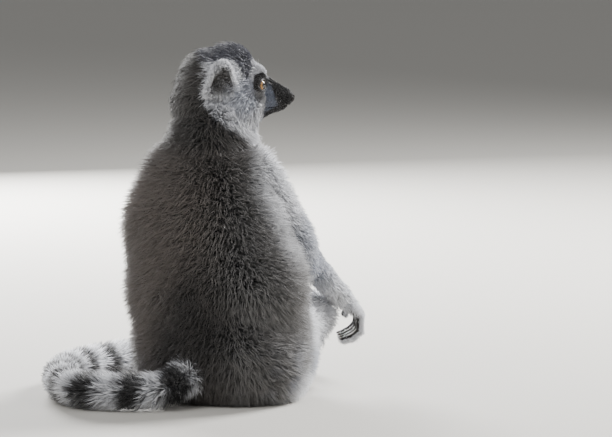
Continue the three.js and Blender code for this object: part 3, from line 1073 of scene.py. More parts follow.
class Tail(BodyPart):
    """The tail: down from the rump, then round the animal's left to its front."""

    RADIUS = 7.0
    SWEEP = 165.0
    MIDDLE = (14.0, -15.0)
    FLAT = 0.8
    LINKS = 60
    RINGS = 13.5

    def __init__(self) -> None:
        """Runs the tail's middle line as a smooth curve through a few places."""
        growth = Growth(13.0, 26.0, 48.0, 0.62, 0.9)
        rest = self.RADIUS + growth.depth - self.FLAT
        places = [(0.0, 40.0, 44.0), (3.0, 76.0, 31.0), (20.0, 110.0, rest + 2.0)]
        for angle in range(62, -89, -25):
            turn = math.radians(angle)
            x = self.MIDDLE[0] + self.SWEEP * math.cos(turn)
            y = self.MIDDLE[1] + self.SWEEP * math.sin(turn)
            places.append((x, y, rest))
        self.line = smooth_line(np.array(places), self.LINKS)
        super().__init__("tail", (self.line[0], self.line[-1]), "dark_fur", growth, 4.0)

    @property
    def nodes(self) -> tuple[str, ...]:
        """Names of the lengths of tail that the solids have."""
        return tuple(f"tail_{number}" for number in range(1, 7))

    def flesh(self) -> list[Form]:
        """Short bones end to end."""
        return [Bone(a, b, self.RADIUS, self.RADIUS) for a, b in zip(self.line, self.line[1:])]

    def nearest(self, points: Array) -> tuple[Array, Array]:
        """For each point, its share of the way along the tail and its distance from the middle line."""
        best = np.full(len(points), np.inf)
        share = np.zeros(len(points))
        for link, (start, end) in enumerate(zip(self.line, self.line[1:])):
            step = end - start
            part = np.clip((points - start) @ step / (step @ step), 0.0, 1.0)
            away = np.linalg.norm(points - start - part[:, None] * step, axis=1)
            closer = away < best
            best[closer] = away[closer]
            share[closer] = ((link + part) / self.LINKS)[closer]
        return share, best

    def distance(self, points: Array) -> Array:
        """How far each point is from the tail's flesh."""
        return self.nearest(points)[1] - self.RADIUS

    def links_at(self, share: Array) -> tuple[Array, Array]:
        """Which link lies at each share of the way along the tail, and the way that it runs."""
        link = np.minimum((share * self.LINKS).astype(int), self.LINKS - 1)
        return link, unit(np.diff(self.line, axis=0))[link]

    def lie(self, points: Array) -> Array:
        """Hair runs towards the tip."""
        share, _ = self.nearest(points)
        return self.links_at(share)[1]

    def paint(self, points: Array) -> Array:
        """Black and white rings with a black tip."""
        share, _ = self.nearest(points)
        phase = share * self.RINGS + 0.10 * ripple(points, 9.0, 19)
        ring = ramp(np.abs(phase % 1.0 - 0.5), 0.29, 0.21)
        colours = lay(plain(points, Hue.WHITE), ring, Hue.BLACK)
        return lay(colours, ramp(share, 0.955, 0.965), Hue.BLACK)

    def unwrap(self, points: Array) -> Array:
        """The turn round the tail and the share along it."""
        share, _ = self.nearest(points)
        link, ahead = self.links_at(share)
        side = unit(np.cross(ahead, UP))
        offset = points - self.line[link]
        turn = np.arctan2((offset * np.cross(side, ahead)).sum(axis=1), (offset * side).sum(axis=1))
        return np.stack([turn / (2.0 * math.pi) + 0.5, share], axis=1)


def smooth_line(places: Array, steps: int) -> Array:
    """A Catmull-Rom curve through places, as points spaced evenly along it.

    Args:
        places: What the curve passes through.
        steps: Number of even steps.

    Returns:
        One more point than there are steps.
    """
    padded = np.concatenate([[2 * places[0] - places[1]], places, [2 * places[-1] - places[-2]]])
    dense = []
    for a, b, c, d in zip(padded, padded[1:], padded[2:], padded[3:]):
        share = np.linspace(0.0, 1.0, 24, endpoint=False)[:, None]
        dense.append(0.5 * (2 * b + (c - a) * share + (2 * a - 5 * b + 4 * c - d) * share ** 2
                            + (3 * b - a - 3 * c + d) * share ** 3))
    line = np.concatenate([*dense, places[-1:]])
    run = np.concatenate([[0.0], np.cumsum(np.linalg.norm(np.diff(line, axis=0), axis=1))])
    wanted = np.linspace(0.0, run[-1], steps + 1)
    return np.stack([np.interp(wanted, run, line[:, k]) for k in range(3)], axis=1)


def body_parts() -> list[BodyPart]:
    """All parts of the body, in the order in which they melt into each other."""
    parts: list[BodyPart] = [Trunk(), Neck(), Head()]
    parts += [Ear(side) for side in Side]
    for leg in LEGS:
        parts += [Thigh(leg), Shank(leg), Foot(leg)]
    for arm in ARMS:
        parts += [UpperArm(arm), Forearm(arm), Hand(arm)]
    return [*parts, Tail()]


# ---- Meshes -----------------------------------------------------------------------------


def write_points(mesh: bpy.types.Mesh, points: Array) -> None:
    """Places the vertices of a mesh, given in millimetres."""
    mesh.vertices.foreach_set("co", (points * MM).astype(np.float32).reshape(-1))


def tube_quads(grid: Array) -> Array:
    """Quads between the rings of a tube, from a grid with a row of vertex numbers for each ring."""
    after = np.roll(grid, -1, axis=1)
    return np.stack([grid[:-1], after[:-1], after[1:], grid[1:]], axis=-1).reshape(-1, 4)


def add_object(name: str, data: Any) -> bpy.types.Object:
    """Adds an object to the scene."""
    added = bpy.data.objects.new(name, data)
    bpy.context.scene.collection.objects.link(added)
    return added


def mesh_of(name: str, points: Array, faces: Sequence[Array]) -> bpy.types.Mesh:
    """Makes a smooth mesh.

    Args:
        name: Name of the mesh.
        points: Vertices in millimetres.
        faces: Arrays of faces, each array with its own number of corners.

    Returns:
        The mesh, in metres.
    """
    faces = [array for array in faces if len(array)]
    corners = np.concatenate([array.reshape(-1) for array in faces]).astype(np.int32)
    sizes = np.concatenate([np.full(len(array), array.shape[1], np.int32) for array in faces])
    mesh = bpy.data.meshes.new(name)
    mesh.vertices.add(len(points))
    write_points(mesh, points)
    mesh.loops.add(len(corners))
    mesh.loops.foreach_set("vertex_index", corners)
    mesh.polygons.add(len(sizes))
    starts = np.concatenate([[0], np.cumsum(sizes)[:-1]])
    mesh.polygons.foreach_set("loop_start", starts.astype(np.int32))
    mesh.update(calc_edges=True)
    mesh.shade_smooth()
    return mesh


def piece_of(mesh: bpy.types.Mesh, material: bpy.types.Material) -> bpy.types.Object:
    """Adds a mesh to the scene as a piece that rides on the body.

    Args:
        mesh: Its mesh, whose name the piece takes.
        material: Its finish.

    Returns:
        The piece.
    """
    piece = add_object(mesh.name, mesh)
    mesh.materials.append(material)
    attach(piece, BODY)
    LOG.info("%s: %d vertices, %d faces", piece.name, len(mesh.vertices), len(mesh.polygons))
    return piece


def write_floats(mesh: bpy.types.Mesh, name: str, values: Array) -> None:
    """Stores one number for each vertex."""
    layer = mesh.attributes.new(name, "FLOAT", "POINT")
    layer.data.foreach_set("value", values.astype(np.float32))


def write_colours(mesh: bpy.types.Mesh, name: str, colours: Array) -> None:
    """Stores a linear colour for each vertex."""
    layer = mesh.attributes.new(name, "FLOAT_COLOR", "POINT")
    rgba = np.concatenate([colours, np.ones((len(colours), 1))], axis=1)
    layer.data.foreach_set("color", rgba.astype(np.float32).reshape(-1))


def read_points(mesh: bpy.types.Mesh) -> Array:
    """Vertices of a mesh in millimetres."""
    flat = np.empty(len(mesh.vertices) * 3, np.float32)
    mesh.vertices.foreach_get("co", flat)
    return flat.reshape(-1, 3).astype(float) / MM


def read_triangles(mesh: bpy.types.Mesh) -> Array:
    """Triangles of a mesh, as three vertex numbers in a row."""
    mesh.calc_loop_triangles()
    flat = np.empty(len(mesh.loop_triangles) * 3, np.int32)
    mesh.loop_triangles.foreach_get("vertices", flat)
    return flat.reshape(-1, 3)


def normals_of(points: Array, triangles: Array) -> Array:
    """Smooth normals at the vertices, weighted by area."""
    a, b, c = (points[triangles[:, k]] for k in range(3))
    faces = np.cross(b - a, c - a)
    total = np.zeros_like(points)
    for corner in range(3):
        for axis in range(3):
            total[:, axis] += np.bincount(triangles[:, corner], faces[:, axis], len(points))
    return unit(total)


# ---- Skin -------------------------------------------------------------------------------


@dataclass
class Skin:
    """One skin over the whole body, and what grows where on it."""

    parts: list[BodyPart]
    spacing: float = 1.4
    calm_share: float = 0.28
    reach: float = 3.5
    margin: float = 14.0
    sole: float = 0.9
    sole_round: float = 2.0
    room: float = 6.0
    head_reach: float = 64.0
    paw_reach: float = 4.0
    face_start: float = 24.0
    face_reach: float = 54.0
    lid_reach: float = 12.0
    exact_start: float = 26.0
    exact_reach: float = 46.0
    probe: float = 0.08
    passes: int = 3
    longest_move: float = 0.6
    under_hair: float = 0.75
    least_share: float = 0.01
    mesh: bpy.types.Mesh | None = None

    def draw(self) -> None:
        """Draws the skin, thins out its calm stretches and refines the face.

        The parts melt into each other out at the tips of their coats, as the coat closes over
        every fold, and the skin lies under that outline by the depth of the coat.
        """
        boxes = [form.box() for part in self.parts for form in part.flesh()]
        low = np.min([box[0] for box in boxes], axis=0)
        high = np.max([box[1] for box in boxes], axis=0)
        lattice = Lattice(low - self.room, high + self.room, self.spacing)
        self.fill(lattice)
        points, quads = lattice.surface()
        LOG.info("skin net: %d quads", len(quads))
        self.mesh = self.thinned(mesh_of("skin", points, [quads]), points)
        local = HEAD.local(read_points(self.mesh))
        self.refine((local[:, 0] > self.face_start) & (face_distance(local) < self.face_reach))
        points = read_points(self.mesh)
        near = face_distance(HEAD.local(points)) < self.exact_reach
        self.refine((eye_distance(points) < self.lid_reach) & near)
        self.settle()

    def fill(self, lattice: Lattice) -> None:
        """Melts the coats of the parts together in the lattice and takes their depth off again."""
        weights = np.zeros_like(lattice.values)
        depths = np.zeros_like(lattice.values)
        for part in self.parts:
            for form in part.flesh():
                block, points = lattice.block(form, self.margin + part.growth.depth)
                depth = part.depth(points)
                outer = form.distance(points) - depth
                weight = np.exp(-outer / self.reach)
                shape = lattice.values[block].shape
                merged = smooth_min(lattice.values[block].reshape(-1), outer, part.fillet(points))
                lattice.values[block] = merged.reshape(shape)
                weights[block] += weight.reshape(shape)
                depths[block] += (weight * depth).reshape(shape)
        heights = lattice.low[2] + self.spacing * np.arange(lattice.counts[2])
        lattice.values += depths / np.maximum(weights, 1e-6)
        floor = (self.sole - heights)[None, None, :]
        lattice.values = smooth_max(lattice.values, floor, self.sole_round)

    def thinned(self, mesh: bpy.types.Mesh, points: Array) -> bpy.types.Mesh:
        """Collapses edges where the skin is calm: away from head, hands and feet."""
        holder = add_object("skin_net", mesh)
        busy = np.linalg.norm(points - HEAD.at(14.0, 0.0, 0.0), axis=1) < self.head_reach
        for part in self.parts:
            if isinstance(part, Paw):
                busy |= part.distance(points) < self.paw_reach
        group = holder.vertex_groups.new(name="calm")
        group.add(np.flatnonzero(~busy).tolist(), 1.0, "REPLACE")
        thin = holder.modifiers.new("thin", "DECIMATE")
        thin.vertex_group = group.name
        thin.ratio = self.calm_share
        evaluated = holder.evaluated_get(bpy.context.evaluated_depsgraph_get())
        result = bpy.data.meshes.new_from_object(evaluated)
        bpy.data.objects.remove(holder)
        bpy.data.meshes.remove(mesh)
        result.name = "skin"
        return result

    def refine(self, chosen: Array) -> None:
        """Halves the edges of a stretch of the skin.

        Args:
            chosen: For each vertex, whether it lies in the stretch.
        """
        net = bmesh.new()
        net.from_mesh(self.mesh)
        net.verts.ensure_lookup_table()
        edges = [edge for edge in net.edges if all(chosen[end.index] for end in edge.verts)]
        bmesh.ops.subdivide_edges(net, edges=edges, cuts=1, use_grid_fill=True)
        bmesh.ops.triangulate(net, faces=[face for face in net.faces if len(face.verts) > 4])
        net.to_mesh(self.mesh)
        net.free()

    def settle(self) -> None:
        """Moves the face's vertices onto the exact surface of the head."""
        points = read_points(self.mesh)
        local = HEAD.local(points)
        near = face_distance(local) < self.exact_reach
        face = np.flatnonzero((local[:, 0] > self.exact_start) & near)
        form = HeadForm()
        for _ in range(self.passes):
            places = points[face]
            away = form.distance(places)
            slope = np.stack([
                (form.distance(places + step) - form.distance(places - step)) / (2.0 * self.probe)
                for step in self.probe * np.eye(3)
            ], axis=1)
            move = -away[:, None] * slope / np.maximum((slope * slope).sum(axis=1, keepdims=True), 0.25)
            points[face] += np.clip(move, -self.longest_move, self.longest_move)
        write_points(self.mesh, points)
        self.mesh.update()
        self.mesh.shade_smooth()

    def survey(self) -> None:
        """Works out, for each vertex, which part it belongs to and what grows there."""
        self.points = read_points(self.mesh)
        self.triangles = read_triangles(self.mesh)
        self.normals = normals_of(self.points, self.triangles)
        count = len(self.points)
        away = np.stack([part.distance(self.points) - part.depth(self.points) for part in self.parts])
        self.owner = away.argmin(axis=0)
        weights = np.exp(-(away - away.min(axis=0)) / self.reach)
        weights /= weights.sum(axis=0)
        self.lie, self.colour = np.zeros((2, count, 3))
        self.depth, self.bare, self.root_lean, self.tip_lean, self.width, self.density = np.zeros((6, count))
        for part, share in zip(self.parts, weights):
            here = np.flatnonzero(share > self.least_share)
            spot, facing, part_share = self.points[here], self.normals[here], share[here]
            self.lie[here] += part_share[:, None] * part.lie(spot)
            self.depth[here] += part_share * part.depth(spot)
            self.bare[here] += part_share * part.bare(spot, facing)
            self.root_lean[here] += part_share * part.growth.root_lean
            self.tip_lean[here] += part_share * part.growth.tip_lean
            self.width[here] += part_share * part.growth.width
            self.density[here] += part_share * part.growth.density
        self.lie -= (self.lie * self.normals).sum(axis=1, keepdims=True) * self.normals
        drift = self.depth * np.tan(np.radians((self.root_lean + self.tip_lean) / 2.0))
        tips = self.points + self.depth[:, None] * self.normals + drift[:, None] * unit(self.lie)
        for part, share in zip(self.parts, weights):
            here = np.flatnonzero(share > self.least_share)
            self.colour[here] += share[here, None] * part.paint(tips[here])

    def dress(self, material: bpy.types.Material) -> bpy.types.Object:
        """Puts the skin in the scene with its markings.

        Args:
            material: Finish of the skin.

        Returns:
            The skin.
        """
        colours = self.colour * self.under_hair
        leathery = np.isin(self.owner, [
            number for number, part in enumerate(self.parts) if isinstance(part, (Paw, Head, Ear))
        ])
        leather = colours + self.bare[:, None] * (linear(Hue.LEATHER.value) - colours)
        colours = np.where(leathery[:, None], leather, colours)
        write_colours(self.mesh, "Marking", colours)
        write_floats(self.mesh, "Bare", self.bare)
        piece = piece_of(self.mesh, material)
        for part in self.parts:
            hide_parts(*part.nodes)
        return piece


# ---- Coat -------------------------------------------------------------------------------


@dataclass
class Coat:
    """The coat: solid tufts that grow out of the skin."""

    skin: Skin
    density: float = 1.0
    seed: int = 2024
    sunk: float = 0.8
    floor: float = 0.4
    bent_depth: float = 3.0
    bent_share: float = 0.05
    guard_share: float = 0.24
    guard_width: float = 1.4
    bent_faces: int = 10
    straight_faces: int = 4
    most_faces: int = 190000
    patch: float = 0.003
    wave: float = 0.2
    disorder: float = 0.3
    root_spread: float = 7.0
    tip_spread: float = 9.0
    guard_tones: tuple[float, float] = (0.5, 1.0)
    under_tones: tuple[float, float] = (0.1, 0.7)
    guard_reach: tuple[float, float, float] = (0.94, 1.08, 1.3)
    under_reach: tuple[float, float, float] = (0.78, 0.92, 1.0)
    lock: float = 2.8
    lock_depth: float = 12.0
    lock_nudge: float = 0.6
    scramble: tuple[int, int, int] = (73856093, 19349663, 83492791)
    guard_pull: tuple[float, float] = (0.25, 0.7)
    under_pull: tuple[float, float] = (0.0, 0.14)
    middle_width: float = 0.85
    flatness: float = 0.7

    def grow(self, material: bpy.types.Material) -> list[bpy.types.Object]:
        """Grows the whole coat.

        Args:
            material: Finish of the hair.

        Returns:
            The pieces of the coat.
        """
        source = np.random.default_rng(self.seed)
        self.plant(source)
        self.comb(source)
        self.gather(source)
        return self.pieces(material)

    def mixed(self, values: Array) -> Array:
        """What the skin's vertices hold, as it is at the root of each tuft."""
        shares = self.shares if values.ndim == 1 else self.shares[:, :, None]
        return (values[self.corners] * shares).sum(axis=1)

    def plant(self, source: np.random.Generator) -> None:
        """Spreads the roots over the skin and picks the long guard hairs among them."""
        skin = self.skin
        a, b, c = (skin.points[skin.triangles[:, k]] for k in range(3))
        area = np.linalg.norm(np.cross(b - a, c - a), axis=1) / 2.0
        density = (skin.density * (1.0 - skin.bare))[skin.triangles].mean(axis=1) * self.density
        expected = area * density
        total = int(expected.sum())
        chosen = np.searchsorted(np.cumsum(expected) / expected.sum(), source.uniform(size=total))
        chosen = np.minimum(chosen, len(expected) - 1)
        first, second = source.uniform(size=(2, total))
        folded = first + second > 1.0
        first, second = np.where(folded, 1.0 - first, first), np.where(folded, 1.0 - second, second)
        self.shares = np.stack([1.0 - first - second, first, second], axis=1)
        self.corners = skin.triangles[chosen]
        self.root = self.mixed(skin.points)
        self.normal = unit(self.mixed(skin.normals))
        self.depth = self.mixed(skin.depth)
        self.colour = self.mixed(skin.colour)
        self.guard = source.uniform(size=total) < self.guard_share
        self.width = self.mixed(skin.width) * np.where(self.guard, self.guard_width, 1.0)
        guard_tone = source.uniform(*self.guard_tones, total)
        under_tone = source.uniform(*self.under_tones, total)
        self.tone = np.where(self.guard, guard_tone, under_tone)
        self.owner = skin.owner[self.corners[:, 0]]

    def comb(self, source: np.random.Generator) -> None:
        """Lays each tuft over: where its middle and its tip are, and which ones are bent."""
        total = len(self.root)
        wave = np.stack([ripple(self.root, 17.0, seed) for seed in (31, 32, 33)], axis=1)
        lie = unit(self.mixed(self.skin.lie)) + self.wave * wave
        lie = lie + source.normal(scale=self.disorder, size=lie.shape)
        lie -= (lie * self.normal).sum(axis=1, keepdims=True) * self.normal
        self.side = unit(np.cross(self.normal, lie))
        lie = unit(lie)
        root_spread = source.normal(scale=self.root_spread, size=total)
        tip_spread = source.normal(scale=self.tip_spread, size=total)
        root_lean = np.radians(self.mixed(self.skin.root_lean) + root_spread)
        tip_lean = np.radians(self.mixed(self.skin.tip_lean) + tip_spread)
        chosen = self.guard | (source.uniform(size=total) < self.bent_share)
        self.bent = (self.depth > self.bent_depth) & chosen
        under = source.triangular(*self.under_reach, size=total)
        over = source.triangular(*self.guard_reach, size=total)
        reach = self.depth * np.where(self.guard, over, under)
        length = reach / np.maximum(0.5 * (np.cos(root_lean) + np.cos(tip_lean)), 0.2)
        rise = np.cos(root_lean)[:, None] * self.normal + np.sin(root_lean)[:, None] * lie
        bend = np.cos(tip_lean)[:, None] * self.normal + np.sin(tip_lean)[:, None] * lie
        self.middle = self.root + 0.5 * length[:, None] * rise
        self.tip = self.middle + 0.5 * length[:, None] * bend

    def gather(self, source: np.random.Generator) -> None:
        """Draws the tips of neighbouring tufts together into locks."""
        size = self.lock * (0.6 + 0.4 * np.clip(self.depth / self.lock_depth, 0.0, 1.5))
        cell = np.floor((self.root + 1000.0) / size[:, None]).astype(np.int64)
        key = np.bitwise_xor.reduce(cell * np.array(self.scramble), axis=1)
        _, lock = np.unique(key, return_inverse=True)
        count = np.bincount(lock)
        centre = np.stack([np.bincount(lock, self.tip[:, k]) for k in range(3)], axis=1) / count[:, None]
        nudge = source.normal(scale=self.lock_nudge, size=centre.shape)
        under_pull = source.uniform(*self.under_pull, size=len(lock))
        guard_pull = source.uniform(*self.guard_pull, size=len(lock))
        pull = np.where(self.guard, guard_pull, under_pull)[:, None]
        self.tip = self.tip + pull * ((centre + nudge)[lock] - self.tip)
        self.shade = source.uniform(size=len(count))[lock]

    def pieces(self, material: bpy.types.Material) -> list[bpy.types.Object]:
        """Makes the pieces of the coat, part by part, none of them too large.

        Args:
            material: Finish of the hair.

        Returns:
            The pieces.
        """
        made = []
        for number, part in enumerate(self.skin.parts):
            mine = np.flatnonzero(self.owner == number)
            if not len(mine):
                continue
            flat = part.unwrap(self.root[mine])
            faces = np.where(self.bent[mine], self.bent_faces, self.straight_faces).sum()
            shares = math.ceil(faces / self.most_faces)
            edges = np.quantile(flat[:, 0], np.linspace(0.0, 1.0, shares + 1)[1:-1])
            sector = np.searchsorted(edges, flat[:, 0])
            for cut in range(shares):
                inside = sector == cut
                name = f"coat_{part.name}" + (f"_{cut + 1}" if shares > 1 else "")
                made.append(self.piece(name, mine[inside], flat[inside], material, part.slot))
        return made

    def piece(
        self, name: str, tufts: Array, flat: Array, material: bpy.types.Material, slot: str,
    ) -> bpy.types.Object:
        """Makes one piece of the coat.

        Args:
            name: Its name.
            tufts: Which tufts are in it.
            flat: Their roots on the unwrap.
            material: Finish of the hair.
            slot: Not used.

        Returns:
            The piece.
        """
        order = np.argsort(~self.bent[tufts], kind="stable")
        tufts, flat = tufts[order], flat[order]
        bent = int(self.bent[tufts].sum())
        mesh = self.tuft_mesh(name, tufts, bent)
        count = len(tufts)
        everyone = np.arange(count)
        whose = np.concatenate([np.repeat(everyone, 3), np.repeat(everyone[:bent], 3), everyone])
        along = np.concatenate([np.zeros(3 * count), np.full(3 * bent, 0.5), np.ones(count)])
        write_colours(mesh, "Marking", self.colour[tufts][whose])
        write_floats(mesh, "Along", along)
        write_floats(mesh, "Tone", (0.6 * self.tone + 0.4 * self.shade)[tufts][whose])
        self.unwrap(mesh, flat, whose, along)
        return piece_of(mesh, material)

    def tuft_mesh(self, name: str, tufts: Array, bent: int) -> bpy.types.Mesh:
        """Makes the mesh of some tufts.

        Args:
            name: Name of the mesh.
            tufts: Which tufts are in it, the bent ones first.
            bent: How many of them are bent.

        Returns:
            The mesh: the rings at the roots, the rings at the bends, then the tips.
        """
        root, tip, middle = self.root[tufts], self.tip[tufts], self.middle[tufts]
        side, width = self.side[tufts], self.width[tufts]
        back = unit(np.cross(side, tip - root))
        base = root - self.normal[tufts] * np.minimum(self.sunk, 0.3 * self.depth[tufts])[:, None]
        rings = np.stack([
            math.cos(turn) * side + self.flatness * math.sin(turn) * back
            for turn in map(math.radians, (90.0, 210.0, 330.0))
        ], axis=1)
        low = base[:, None] + rings * width[:, None, None]
        mid = middle[:bent, None] + rings[:bent] * (self.middle_width * width[:bent])[:, None, None]
        points = np.concatenate([low.reshape(-1, 3), mid.reshape(-1, 3), tip])
        points[:, 2] = np.maximum(points[:, 2], self.floor)
        count = len(tufts)
        at_low = np.arange(count)[:, None] * 3 + np.arange(3)
        at_mid = 3 * count + np.arange(bent)[:, None] * 3 + np.arange(3)
        at_tip = 3 * count + 3 * bent + np.arange(count)
        walls, tops = [], []
        for k, n in ((0, 1), (1, 2), (2, 0)):
            walls.append(np.stack([at_low[:bent, k], at_low[:bent, n], at_mid[:, n], at_mid[:, k]], axis=1))
            tops.append(np.stack([at_mid[:, k], at_mid[:, n], at_tip[:bent]], axis=1))
            tops.append(np.stack([at_low[bent:, k], at_low[bent:, n], at_tip[bent:]], axis=1))
        return mesh_of(name, points, [np.concatenate(walls), np.concatenate(tops), at_low[:, ::-1]])

    def unwrap(self, mesh: bpy.types.Mesh, flat: Array, whose: Array, along: Array) -> None:
        """Gives each tuft a small patch at its root's place on the unwrap of the skin."""
        low, high = flat.min(axis=0), flat.max(axis=0)
        spot = 0.01 + 0.98 * (flat - low) / np.maximum(high - low, 1e-6)
        corner = np.arange(len(whose)) % 3 - 1.0
        place = spot[whose] + self.patch * np.stack([0.4 * corner * (1.0 - along), along - 0.5], axis=1)
        loops = np.empty(len(mesh.loops), np.int32)
        mesh.loops.foreach_get("vertex_index", loops)
        layer = mesh.uv_layers.new(name="OFBake")
        layer.data.foreach_set("uv", place[loops].clip(0.0, 1.0).astype(np.float32).reshape(-1))


# ---- Eyes, nose, nails, whiskers --------------------------------------------------------


@dataclass
class Eyeball:
    """An eye with a domed cornea; each vertex knows its angle from the way it looks."""

    side: Side
    radius: float = EYE_RADIUS - 0.15
    dome: float = 0.7
    dome_angle: float = 44.0
    around: int = 72
    rings: int = 64

    def build(self, material: bpy.types.Material) -> bpy.types.Object:
        """Makes the eye.

        Args:
            material: Finish of the eye.

        Returns:
            The eye.
        """
        gaze = gaze_place(self.side)
        place = Place(HEAD.at(*eye_centre(self.side)), HEAD.axes @ gaze.axes)
        tilt = np.linspace(0.0, math.pi, self.rings + 1)[1:-1]
        turn = np.linspace(0.0, 2.0 * math.pi, self.around, endpoint=False)
        tilts, turns = (grid.reshape(-1) for grid in np.meshgrid(tilt, turn, indexing="ij"))
        degrees = np.degrees(tilts)
        radius = self.radius + self.dome * ramp(degrees, self.dome_angle, 0.0)
        ways = np.stack([np.cos(tilts), np.sin(tilts) * np.cos(turns), np.sin(tilts) * np.sin(turns)], axis=1)
        poles = np.array([[self.radius + self.dome, 0.0, 0.0], [-self.radius, 0.0, 0.0]])
        local = np.concatenate([ways * radius[:, None], poles])
        points = place.origin + local @ place.axes.T
        grid = np.arange(len(tilts)).reshape(len(tilt), self.around)
        ahead = np.roll(grid, -1, axis=1)
        quads = np.stack([grid[:-1], grid[1:], ahead[1:], ahead[:-1]], axis=-1).reshape(-1, 4)
        front, back = len(tilts), len(tilts) + 1
        caps = np.concatenate([
            np.stack([np.full(self.around, front), grid[0], ahead[0]], axis=1),
            np.stack([np.full(self.around, back), ahead[-1], grid[-1]], axis=1),
        ])
        mesh = mesh_of(f"eyeball_{self.side.word}", points, [quads, caps])
        write_floats(mesh, "Gaze", np.concatenate([degrees, [0.0, 180.0]]))
        piece = piece_of(mesh, material)
        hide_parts(f"eye_{self.side.word}")
        return piece


@dataclass(frozen=True)
class NoseForm(Form):
    """The bare pad of the nose, with its nostrils and the groove under it."""

    radii: tuple[float, float, float] = (5.5, 6.5, 6.0)

    def distance(self, points: Array) -> Array:
        """How far each point is from the surface."""
        local = HEAD.local(points) - NOSE_PLACE
        pad = Ball((0.0, 0.0, 0.0), self.radii).distance(local)
        for side in Side:
            hole = Bone((5.6, side * 2.3, 0.4), (3.0, side * 3.2, -0.4), 1.25, 0.9)
            slit = Bone((4.4, side * 3.3, 0.9), (1.6, side * 6.4, 2.4), 0.9, 0.5)
            pad = smooth_max(pad, -hole.distance(local), 0.6)
            pad = smooth_max(pad, -slit.distance(local), 0.5)
        groove = Bone((6.0, 0.0, 1.5), (4.0, 0.0, -5.5), 0.55, 0.7)
        return smooth_max(pad, -groove.distance(local), 0.6)

    def box(self) -> tuple[Array, Array]:
        """Lowest and highest corner."""
        centre = HEAD.at(*NOSE_PLACE)
        return centre - 8.0, centre + 8.0


@dataclass
class Nose:
    """The nose as a piece."""

    spacing: float = 0.3

    def build(self, material: bpy.types.Material) -> bpy.types.Object:
        """Makes the nose.

        Args:
            material: Finish of the nose.

        Returns:
            The nose.
        """
        form = NoseForm()
        low, high = form.box()
        lattice = Lattice(low - 1.0, high + 1.0, self.spacing)
        block, points = lattice.block(form, 1.0)
        lattice.values[block] = form.distance(points).reshape(lattice.values[block].shape)
        points, quads = lattice.surface()
        piece = piece_of(mesh_of("nose_pad", points, [quads]), material)
        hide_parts("nose")
        return piece


@dataclass
class Nails:
    """Small domed nails on the tips of the digits."""

    paw: Paw
    length: float = 5.2
    half_width: float = 1.9
    thickness: float = 0.9
    ahead: float = 1.4
    around: int = 10
    rings: int = 7

    def build(self, material: bpy.types.Material) -> bpy.types.Object:
        """Makes the nails of one paw as one piece.

        Args:
            material: Finish of the nails.

        Returns:
            The nails.
        """
        points, faces = [], []
        tilt = np.linspace(0.0, math.pi, self.rings)
        turn = np.linspace(0.0, 2.0 * math.pi, self.around, endpoint=False)
        grid = np.arange(self.rings * self.around).reshape(self.rings, self.around)
        quads = tube_quads(grid)
        for number, one in enumerate(self.paw.digits):
            radius = one.bones[-1].end_radius
            t, a = np.meshgrid(tilt, turn, indexing="ij")
            ends = np.maximum(np.sin(t), 0.04)
            x = -np.cos(t) * self.length / 2.0 + self.ahead
            y = ends * np.cos(a) * self.half_width * (1.0 - 0.25 * (x > self.ahead))
            z = ends * np.sin(a) * self.thickness + radius * 0.72 - 0.05 * (x - 1.0) ** 2 - 0.12 * y * y
            local = np.stack([x, y, z], axis=-1).reshape(-1, 3)
            points.append(one.tip.origin + local @ one.tip.axes.T)
            faces.append(quads + number * grid.size)
        name = f"nails_{self.paw.name}"
        return piece_of(mesh_of(name, np.concatenate(points), faces), material)


@dataclass
class Whiskers:
    """Long thin hairs on the lips and over the eyes.

    Each row gives where it starts in the head's own frame, which way its hairs point, their
    greatest length, and how many there are on a side.
    """

    ROWS = (
        ((58.0, 7.5, -18.0), (-0.15, 1.0, -0.25), 26.0, 9),
        ((37.0, 12.0, 15.0), (0.15, 0.45, 1.0), 13.0, 4),
    )
    seed: int = 77
    thickness: float = 0.16
    sunk: float = 3.0
    droop: tuple[float, float, float] = (-0.25, 0.0, -0.3)
    sides: int = 4
    steps: int = 5

    def build(self, material: bpy.types.Material) -> bpy.types.Object:
        """Makes the whiskers as one piece.

        Args:
            material: Finish of the whiskers.

        Returns:
            The whiskers.
        """
        source = np.random.default_rng(self.seed)
        points, walls, caps = [], [], []
        size = self.steps * self.sides
        for start, way, length, count in self.ROWS:
            for side in [side for side in Side for _ in range(count)]:
                root = np.array(start) * (1, side, 1) + source.normal(scale=(3.0, 0.5, 2.2))
                ahead = unit(np.array(way) * (1, side, 1) + source.normal(scale=0.22, size=3))
                grid = len(points) * size + np.arange(size).reshape(self.steps, self.sides)
                hair = self.hair(root, ahead, length * source.uniform(0.6, 1.0))
                points.append(HEAD.origin + hair @ HEAD.axes.T)
                walls.append(tube_quads(grid))
                caps.extend([grid[0][::-1], grid[-1]])
        mesh = mesh_of("whiskers", np.concatenate(points), [np.concatenate(walls), np.array(caps)])
        return piece_of(mesh, material)

    def hair(self, root: Array, ahead: Array, reach: float) -> Array:
        """Rings of points along one drooping hair that starts under the skin."""
        share = np.linspace(0.0, 1.0, self.steps)[:, None]
        curve = ahead * share + np.array(self.droop) * share ** 2
        middle = root - self.sunk * ahead + reach * curve
        angles = np.linspace(0.0, 2.0 * math.pi, self.sides, endpoint=False)[:, None]
        one = unit(np.cross(ahead, (0.3, 0.2, 0.9)))
        ring = np.cos(angles) * one + np.sin(angles) * np.cross(ahead, one)
        thick = self.thickness * (1.0 - 0.85 * share)[:, :, None]
        return (middle[:, None] + ring * thick).reshape(-1, 3)


# ---- Finishes ---------------------------------------------------------------------------


